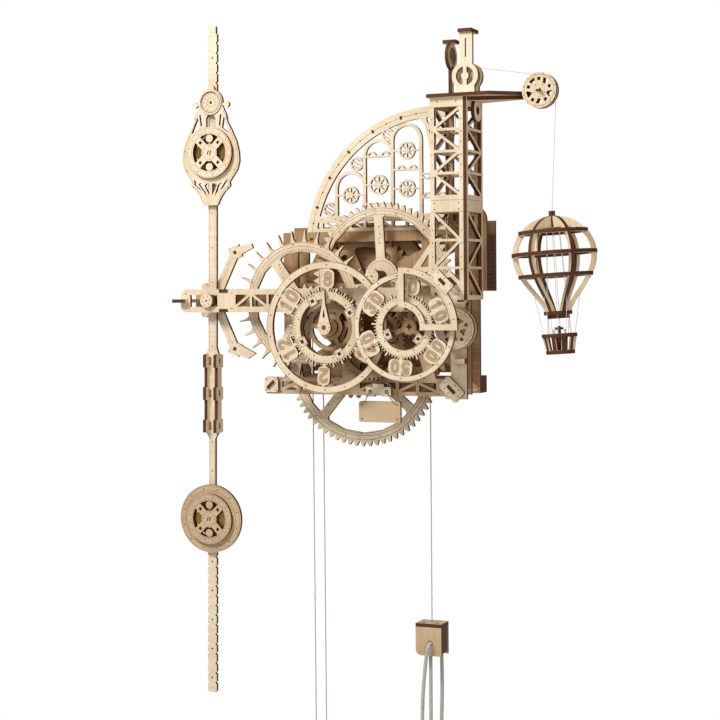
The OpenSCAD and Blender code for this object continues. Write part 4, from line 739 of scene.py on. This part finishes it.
class Sheet:
    """Marks on one face of a sheet that rides on a body. It faces the front at a depth, or the right at an X.
    turn is a point and an angle, for a sheet that leans with the pendulum."""

    def __init__(self, body, depth, facing="front", turn=None):
        self.body, self.depth, self.facing, self.turn = body, depth, facing, turn

    def place(self, a, b, lift):
        if self.turn:
            (ca, cb), angle = self.turn
            cos, sin = math.cos(angle), math.sin(angle)
            a, b = (ca + a * cos + b * sin, cb - a * sin + b * cos)
        if self.facing == "right":
            return (self.depth + lift, a, b)
        return (a, -self.depth - lift, b)

    def shape(self, kind, points, lift=LIFT):
        verts, faces = inlays.setdefault((self.body, kind), ([], []))
        first = len(verts)
        following = points[1:] + points[:1]
        if sum(p[0] * q[1] - q[0] * p[1] for p, q in zip(points, following)) < 0:
            points = points[::-1]
        verts.extend(self.place(a, b, lift) for a, b in points)
        faces.append(tuple(range(first, len(verts))))

    def dot(self, c, r=0.6, kind="hole", lift=LIFT + 0.01, sides=12):
        self.shape(kind, [polar(r, 360 * k / sides, c) for k in range(sides)], lift)

    def line(self, points, width=0.28, kind="burn", lift=LIFT, closed=False):
        pts = list(points) + ([points[0]] if closed else [])
        for (ax, ay), (bx, by) in zip(pts, pts[1:]):
            length = math.hypot(bx - ax, by - ay)
            if length < 1e-6:
                continue
            nx, ny = -(by - ay) / length * width / 2, (bx - ax) / length * width / 2
            ex, ey = (bx - ax) / length * width * 0.18, (by - ay) / length * width * 0.18
            self.shape(kind, [(ax - nx - ex, ay - ny - ey), (bx - nx + ex, by - ny + ey),
                              (bx + nx + ex, by + ny + ey), (ax + nx - ex, ay + ny - ey)], lift)

    def arc(self, c, r, a0=0.0, a1=360.0, width=0.28, kind="burn", lift=LIFT, step=4.0):
        count = max(2, int(abs(a1 - a0) / step))
        for k in range(count):
            s, e = a0 + (a1 - a0) * k / count, a0 + (a1 - a0) * (k + 1) / count
            near, far = r - width / 2, r + width / 2
            self.shape(kind, [polar(near, s, c), polar(far, s, c), polar(far, e, c), polar(near, e, c)], lift)

    def ring_of_dots(self, c, r, count, a0=0.0, size=0.6, kind="hole"):
        for k in range(count):
            self.dot(polar(r, a0 + 360 * k / count, c), size, kind)

    def square(self, c, size, angle=0.0, kind="tenon", lift=LIFT + 0.01, tall=None):
        tall = tall or size
        corners = [(-size / 2, -tall / 2), (size / 2, -tall / 2), (size / 2, tall / 2), (-size / 2, tall / 2)]
        self.shape(kind, [shifted(c, x, y, angle) for x, y in corners], lift)

    def joint(self, c, angle, size=2.4):
        """The puzzle joint of two glued sectors: a wavy cut with a round knob."""
        def out(x, y):
            return shifted(c, x * size, y * size, angle)
        self.line([out(-2.2, 0.5), out(-1.1, 0.45), out(-0.5, 0.1)], 0.22)
        self.arc(out(0, -0.5), 0.72 * size, angle + 125, angle + 415, 0.22, step=20)
        self.line([out(0.5, 0.1), out(1.1, -0.35), out(2.2, -0.4)], 0.22)


DIGITS = {
    "0": [[(-1, 0.6), (-0.75, 1.25), (0, 1.5), (0.75, 1.25), (1, 0.6), (1, -0.6), (0.75, -1.25), (0, -1.5),
           (-0.75, -1.25), (-1, -0.6), (-1, 0.6)]],
    "1": [[(-0.7, 0.9), (0.1, 1.5), (0.1, -1.5)]],
    "2": [[(-1, 0.85), (-0.7, 1.35), (0, 1.5), (0.75, 1.3), (1, 0.75), (0.75, 0.15), (-0.4, -0.75),
           (-1, -1.45), (1, -1.45)]],
    "3": [[(-0.9, 1.2), (-0.2, 1.5), (0.6, 1.4), (1, 0.85), (0.7, 0.2), (-0.1, 0.05), (0.7, -0.15), (1, -0.8),
           (0.6, -1.4), (-0.2, -1.5), (-0.95, -1.15)]],
    "4": [[(0.5, -1.5), (0.5, 1.5), (-1, -0.6), (1.1, -0.6)]],
    "5": [[(0.9, 1.5), (-0.8, 1.5), (-0.9, 0.25), (0, 0.4), (0.8, 0.15), (1, -0.5), (0.7, -1.25), (0, -1.5),
           (-0.95, -1.25)]],
    "6": [[(0.8, 1.35), (0, 1.5), (-0.8, 1.0), (-1, 0), (-1, -0.7), (-0.65, -1.35), (0, -1.5), (0.7, -1.3),
           (1, -0.65), (0.7, 0.0), (0, 0.2), (-0.8, -0.1)]],
    "8": [[(0, 0.08), (-0.8, 0.35), (-0.9, 0.9), (-0.6, 1.35), (0, 1.5), (0.6, 1.35), (0.9, 0.9), (0.8, 0.35),
           (0, 0.08), (-0.8, -0.2), (-1, -0.8), (-0.65, -1.35), (0, -1.5), (0.65, -1.35), (1, -0.8),
           (0.8, -0.2), (0, 0.08)]],
}


def digit(sheet, char, c, angle, tall, wide):
    """One digit about c with its top along angle: a broad stroke between burnt lines, with a third in it."""
    for stroke in DIGITS[char]:
        pts = [shifted(c, x * wide / 2, y * tall / 3, angle - 90) for x, y in stroke]
        for level, (width, kind) in enumerate(((2.9, "burn"), (2.15, "fill"), (0.35, "burn"))):
            lift = LIFT + 0.02 * level
            sheet.line(pts, width, kind, lift)
            for k, p in enumerate(pts):
                sheet.dot(p, width / 2, kind, lift + 0.001 + 0.0002 * (k % 3), sides=10)


def dial_digits(body, depth, c, r, turn, words, spacing, tall, wide):
    sheet = Sheet(body, depth)
    for i, word in enumerate(words):
        a = 90 + 60 * i + turn
        for k, char in enumerate(word):
            off = (k - (len(word) - 1) / 2) * spacing
            base = polar(r, a, c)
            spot = polar(off, a - 90, base)
            digit(sheet, char, spot, a, tall, wide)


dial_digits("hour", 88.0, HOUR, 40.4, HOUR_TURN, ["8", "10", "12", "2", "4", "6"], 9.8, 10.2, 5.4)
dial_digits("minute", 94.0, MINUTE, 33.0, MINUTE_TURN, ["20", "30", "40", "50", "00", "10"], 9.2, 8.6, 4.6)

# Dials
hour_face, minute_face = Sheet("hour", 88.0), Sheet("minute", 94.0)
hour_face.ring_of_dots(HOUR, 52.1, 18, 12 + HOUR_TURN)
minute_face.ring_of_dots(MINUTE, 42.1, 15, 8 + MINUTE_TURN)
for k in range(72):
    a = HOUR_TURN + 5 * k
    long_tick = k % 3 == 0
    hour_face.line([polar(27.2 if long_tick else 28.4, a, HOUR), polar(30.2, a, HOUR)], 0.3)
for k in range(60):
    a = MINUTE_TURN + 6 * k
    minute_face.line([polar(22.0 if k % 5 == 0 else 23.0, a, MINUTE), polar(24.8, a, MINUTE)], 0.28)


CORNERS = ((-1, -1), (1, -1), (1, 1), (-1, 1))


def pad(sheet, c, angle, size, hole, width=0.35):
    """A square pad round a square tenon: its burnt border, the tenon's end and four pin holes."""
    h = size / 2
    sheet.line([shifted(c, u * h, v * h, angle) for u, v in CORNERS], width, closed=True)
    sheet.square(c, hole, angle)
    for u, v in CORNERS:
        sheet.dot(shifted(c, u * h * 0.74, v * h * 0.74, angle), 0.4)


for k in range(4):
    pad(hour_face, polar(25, 29 + 90 * k, HOUR), 29 + 90 * k, 7.8, 3.0)
for k in range(3):
    pad(minute_face, polar(15.8, 82.5 + 120 * k, MINUTE), 82.5 + 120 * k, 6.3, 2.8)
hour_face.arc(HOUR, 54.7, width=0.3)
hour_face.arc(HOUR, 49.4, width=0.3)
hour_face.arc(HOUR, 23.8, width=0.3)
minute_face.arc(MINUTE, 44.1, width=0.3)
minute_face.arc(MINUTE, 40.0, width=0.3)
minute_face.arc(MINUTE, 18.9, width=0.3)
hour_face.ring_of_dots(HOUR, 26.0, 9, 5)
minute_face.ring_of_dots(MINUTE, 20.4, 9, 15)
pointer = Sheet("frame", 92.0)
pointer.ring_of_dots(HOUR, 4.6, 8, 0, 0.45)
pointer.square(HOUR, 2.0, 0, tall=3.0)
plus = Sheet("minute", 82.5)
plus.square(MINUTE, 5.0, 3.0, tall=1.7)
plus.square(MINUTE, 1.7, 3.0, tall=5.0)

# Wheels
escape_face = Sheet("escape", 57.0)
escape_face.arc(ESCAPE, 51.5, width=0.3)
escape_face.arc(ESCAPE, 48.4)
escape_face.arc(ESCAPE, 46.0, width=0.25)
escape_face.arc(ESCAPE, 44.6, width=0.3)
escape_face.ring_of_dots(ESCAPE, 50.4, 12, 9)
for a in (125, 245, 5):
    escape_face.joint(polar(34, a, ESCAPE), a)
    escape_face.dot(polar(28, a + 4, ESCAPE))
    escape_face.dot(polar(39, a - 3, ESCAPE))
upper_face = Sheet("upper", 51.0)
upper_face.arc(UPPER, 57.6, width=0.35)
upper_face.arc(UPPER, 55.4, width=0.25)
upper_face.arc(UPPER, 52.5, width=0.3)
upper_face.arc(UPPER, 13.0)
upper_face.ring_of_dots(UPPER, 54.2, 12, 15)
for a in (93, 213, 333):
    upper_face.joint(polar(54.9, a + 4, UPPER), a, 2.0)
    upper_face.joint(polar(34, a, UPPER), a)
    upper_face.dot(polar(42, a, UPPER))
    upper_face.dot(polar(28, a, UPPER))
great_face = Sheet("great", 45.0)
great_face.arc(GREAT, 64.2, width=0.4)
great_face.arc(GREAT, 60.6, width=0.3)
great_face.arc(GREAT, 58.4, width=0.35)
great_face.ring_of_dots(GREAT, 62.4, 12, 15)
for a in (50, 140, 230, 320):
    great_face.joint(polar(40, a, GREAT), a)
    great_face.joint(polar(61.3, a + 38, GREAT), a + 38, 1.9)
    great_face.dot(polar(34, a + 4, GREAT))
    great_face.dot(polar(47, a - 3, GREAT))
cap = Sheet("upper", 72.4)
cap.ring_of_dots(UPPER, 3.9, 6, 0, 0.45)
cap.dot(UPPER, 0.8)
pivot_cap = Sheet("pendulum", 72.4)
pivot_cap.ring_of_dots(PIVOT, 3.9, 6, 10, 0.45)
pivot_cap.dot(PIVOT, 0.8)
drum_face = Sheet("thread_drum", 79.0)
drum_face.arc(DRUM, 14.4, width=0.25)
drum_face.ring_of_dots(DRUM, 15.6, 10, 18, 0.4)
drum_face.arc(DRUM, 16.7, width=0.25)
jib_face = Sheet("jib_wheel", 69.0)
jib_face.arc(JIB, 12.4, width=0.25)
jib_face.ring_of_dots(JIB, 5.2, 5, 54, 0.4)
jib_face.ring_of_dots(JIB, 13.2, 12, 15, 0.4)
jib_face.square(JIB, 3.2, 12)

# Pendulum
LEANED = (PIVOT, LEAN)
rod_face = Sheet("pendulum", 61.0, turn=LEANED)
for x in (-2.6, 2.6):
    rod_face.line([(x, 12), (x, 84)], 0.22)
    rod_face.line([(x, 152), (x, 170)], 0.22)
    rod_face.line([(x, -12), (x, -44)], 0.22)
    rod_face.line([(x, -122), (x, -162)], 0.22)
for z in (16, 46, 76, 156, -18, -40, -124, -150):
    rod_face.dot((0, z), 0.6)
anchor_face = Sheet("pendulum", ANCHOR_DEPTH, turn=LEANED)
for s in (-1, 1):
    anchor_face.square((PAD_X, PAD_Z * s), 3.0, PAD_TURN * s)
    for u, v in CORNERS:
        anchor_face.dot(shifted((PAD_X, PAD_Z * s), 4 * u, 4 * v, PAD_TURN * s), 0.4)
    anchor_face.line([(6, 14 * s), (16.5, 36 * s)], 0.22)
anchor_face.ring_of_dots((0, 0), 7.6, 8, 10, 0.4)
TEARDROP = ((12.6, 38), (15, 33), (16.2, 27), (20, 20), (25, 10), (27.6, 0), (28, -8), (26, -15), (21, -22),
            (18.6, -25.5), (19.2, -29), (14, -33.5), (10, -39), (7, -45.5))
boss = (0, UPPER_WEIGHT_Z + 43.5)
drop_face = Sheet("upper_weight", 64.25, turn=LEANED)
for s in (-1, 1):
    outline = []
    for x, z in TEARDROP:
        inward = 1 - 1.5 / math.hypot(x, z)
        outline.append((s * x * inward, UPPER_WEIGHT_Z + z * inward))
    drop_face.line(outline, 0.25)
    for x, z in ((15.6, 30.0), (25.6, 2.0), (23.4, -15.0), (17.0, -30.0)):
        drop_face.dot((s * x, UPPER_WEIGHT_Z + z), 0.5)
for r, width in ((8.6, 0.5), (7.4, 0.2), (3.6, 0.3)):
    drop_face.arc(boss, r, width=width)
for k in range(12):
    drop_face.line([polar(4.4, 30 * k, boss), polar(6.8, 30 * k, boss)], 0.3)
drop_face.dot(boss, 1.5, "burn")
for body, z in (("upper_weight", UPPER_WEIGHT_Z), ("bob", BOB_Z)):
    wheel_face = Sheet(body, 67.25, turn=LEANED)
    wheel_face.arc((0, z), 21.2, width=0.2)
    wheel_face.arc((0, z), 17.0, width=0.25)
    wheel_face.ring_of_dots((0, z), 19.2, 16, 11.25, 0.45)
    wheel_face.arc((0, z), 6.4, width=0.2)
    wheel_face.ring_of_dots((0, z), 5.2, 8, 0, 0.35)
bob_face = Sheet("bob", 64.25, turn=LEANED)
bob_face.arc((0, BOB_Z), 28.8, width=0.22)
bob_face.arc((0, BOB_Z), 24.6, width=0.22)
bob_face.ring_of_dots((0, BOB_Z), 26.6, 12, 15, 0.6)

# Fixed quadrant, and the plate at its corner
QUADRANT_R, QUADRANT_D = 48.4, 100.0
corner = polar(QUADRANT_R + 3.4, 45, MINUTE)
corner_face = Sheet("frame", QUADRANT_D + SHEET)
for u, v in ((-7.6, -3), (-7.6, 3), (0, -3.4), (0, 3.4), (7.6, -3), (7.6, 3)):
    corner_face.dot(shifted(corner, u, v, -45), 0.5)
corner_face.square(corner, 7.0, -45, tall=3.0)
quadrant_face = Sheet("frame", QUADRANT_D)
for a in (8, 24, 66, 82):
    quadrant_face.dot(polar(QUADRANT_R - 2.3, a, MINUTE), 0.55)
for a in (12, 32, 58, 78):
    quadrant_face.dot(polar(18.5, a, MINUTE), 0.5)

# Sign bracket and sign
bracket_face = Sheet("frame", 75.0)
for x in (-0.4, 14.2):
    for u, v in CORNERS:
        bracket_face.dot((x + 3 * u, -132 + 3 * v), 0.4)

# Disc that closes the cord wheel between its cheeks, in the painted shade colours of the deep sheets
core_wood = ply("ply_cord_wheel_core", "y", "x", 0.4, (), SHADED_FACE, EDGE, SHADED_WARM)
lathe("cord_wheel_core", [(3.0, 0.1), (48.0, 0.1), (48.0, 2.9), (3.0, 2.9)], (CORD[0], -23.0, CORD[1]),
      core_wood, "cord_drum", 64, "y")

# Frame
beam = Sheet("frame", 69.0)
for x in (-178, -132.6, -80):
    for z in (-49, -62):
        beam.dot((x, z))
for x in range(-70, 68, 24):
    beam.dot((x, -63.4))
sill = Sheet("frame", 69.0)
for x in range(-86, 60, 18):
    sill.dot((x, -123.0))
    sill.dot((x, -133.6))
foot_plates = Sheet("frame", 72.0)
for x, z in ((-4.6, 4.6), (4.6, 4.6), (-4.6, -4.6), (4.6, -4.6)):
    foot_plates.dot((-94 + x, -127.5 + z))
for x, z in ((-8, 0), (8, 0), (0, 4.4), (0, -4.4), (-5, -4), (5, 4)):
    foot_plates.dot(shifted((70.5, -129.3), x, z, -45))
tower_face = Sheet("frame", 78.0)
TOWER_X, TOWER_RIGHT = 55.5, 87.0
for z in (81.4, 62.9, 44.4, -8.5, -30.0):
    for x in (TOWER_X + 1.7, TOWER_RIGHT - 4.7):
        tower_face.dot((x, z - 1.2), 0.55)
        tower_face.dot((x, z + 9.0), 0.45)
for x, z in ((62.0, 104.6), (78.0, 104.6), (59.0, 22.6), (80.0, 22.6), (59.0, 17.6), (80.0, 17.6)):
    tower_face.dot((x, z), 0.6)
tower_face.line([(TOWER_X, 100.2), (TOWER_RIGHT - 3, 100.2)], 0.25)
for z in (15.4, 25.0):
    tower_face.line([(TOWER_X, z), (TOWER_RIGHT - 3, z)], 0.25)
side = Sheet("frame", TOWER_RIGHT, "right")
for z in (104.0, 81.4, 62.9, 44.4, 20.0, -8.5, -30.0, -53.0):
    side.dot((-40.8, z), 0.5)
    side.dot((-76.3, z), 0.5)
for z in (100.2, 25.0, 15.4):
    side.line([(-78.0, z), (-39.0, z)], 0.25)
coin_disc = Sheet("frame", COIN_X + 1.5, "right")
coin_disc.arc((-COIN_DEPTH, COIN_Z), 9.6, width=0.25)
for z in CLAMPS:
    ear_x = in_pendulum(Vector((6.67, 0, z))).x + 0.1
    ears = Sheet("pendulum", ear_x, "right")
    zw = PIVOT[1] + z
    # A slot in the ear, drawn as a flat dark mark: burnt walls and painted shade for its depth
    ears.shape("hole", [(-60.9, zw - 2.6), (-59.2, zw - 2.6), (-59.2, zw + 2.6), (-60.9, zw + 2.6)])
    for y, dz in ((-64.2, 4.2), (-55.4, 4.2), (-64.2, -4.2), (-55.4, -4.2)):
        ears.dot((y, zw + dz), 0.45)
arch = Sheet("frame", 39.0)
ARCH, ARCH_LINE = (44, -13), 114.4
arch.arc(ARCH, ARCH_LINE, 92, 172)
for a in range(98, 170, 14):
    arch.dot(polar(ARCH_LINE, a, ARCH), 0.7)
    arch.square(polar(ARCH_LINE, a + 7, ARCH), 3.0, a + 7, tall=2.2)
for x in range(-60, 50, 13):
    arch.dot((x, 13.8), 0.5)

KINDS = {"burn": BURN, "hole": HOLE_BURN_AND_SHADE, "fill": TAN, "tenon": TENON}
for (body, kind), (verts, faces) in sorted(inlays.items()):
    mesh_piece(f"inlay_{kind}_{body}", verts, faces, KINDS[kind], body)


# Floor and light
def stage_material():
    material = bpy.data.materials.new("studio_white")
    material.use_nodes = True
    tree = material.node_tree
    tree.nodes.clear()
    out = tree.nodes.new("ShaderNodeOutputMaterial")
    diffuse = node(tree, "ShaderNodeBsdfDiffuse", in_0=(0.78, 0.78, 0.78, 1))
    glow = node(tree, "ShaderNodeEmission", in_0=(1, 1, 1, 1), in_1=1.0)
    mix = tree.nodes.new("ShaderNodeMixShader")
    path = tree.nodes.new("ShaderNodeLightPath")
    rays = math_node(tree, "ADD", path.outputs["Is Camera Ray"], path.outputs["Is Glossy Ray"])
    rays = math_node(tree, "ADD", rays, path.outputs["Is Transmission Ray"], clamp=True)
    tree.links.new(rays, mix.inputs[0])
    tree.links.new(diffuse.outputs[0], mix.inputs[1])
    tree.links.new(glow.outputs[0], mix.inputs[2])
    tree.links.new(mix.outputs[0], out.inputs[0])
    return material


def make_stage():
    """A pale floor under the hanging clock. The white behind it is the world's, so that its back shows."""
    mesh = bpy.data.meshes.new("studio")
    x, y, z = 3.0, 2.5, -0.62
    mesh.from_pydata([(-x, -y, z), (x, -y, z), (x, y, z), (-x, y, z)], [], [(0, 1, 2, 3)])
    mesh.materials.append(stage_material())
    link("studio", mesh)


def area_light(name, place, target, size, power, colour=(1, 1, 1)):
    data = bpy.data.lights.new(name, "AREA")
    data.shape, data.size, data.energy, data.color = "SQUARE", size, power, colour
    lamp = bpy.data.objects.new(name, data)
    bpy.context.scene.collection.objects.link(lamp)
    lamp.location = place
    lamp.rotation_mode = "QUATERNION"
    lamp.rotation_quaternion = (Vector(target) - Vector(place)).to_track_quat("-Z", "Y")


def make_light():
    world = bpy.data.worlds.new("studio_world")
    bpy.context.scene.world = world
    world.use_nodes = True
    tree = world.node_tree
    tree.nodes.clear()
    out = tree.nodes.new("ShaderNodeOutputWorld")
    # The camera sees pure white, and the clock is lit by a weaker one
    soft = node(tree, "ShaderNodeBackground", in_0=(1, 1, 1, 1), in_1=0.22)
    seen = node(tree, "ShaderNodeBackground", in_0=(1, 1, 1, 1), in_1=1.0)
    mix = tree.nodes.new("ShaderNodeMixShader")
    path = tree.nodes.new("ShaderNodeLightPath")
    tree.links.new(path.outputs["Is Camera Ray"], mix.inputs[0])
    tree.links.new(soft.outputs[0], mix.inputs[1])
    tree.links.new(seen.outputs[0], mix.inputs[2])
    tree.links.new(mix.outputs[0], out.inputs[0])
    area_light("key", (-0.55, -0.95, 0.95), (0, 0, 0.02), 0.42, 19.5)
    area_light("fill", (1.3, -1.2, 0.4), (0, 0, 0.0), 1.2, 9.8, colour=(1, 0.9, 0.78))


make_stage()
make_light()
bpy.context.scene.view_settings.view_transform = "Standard"
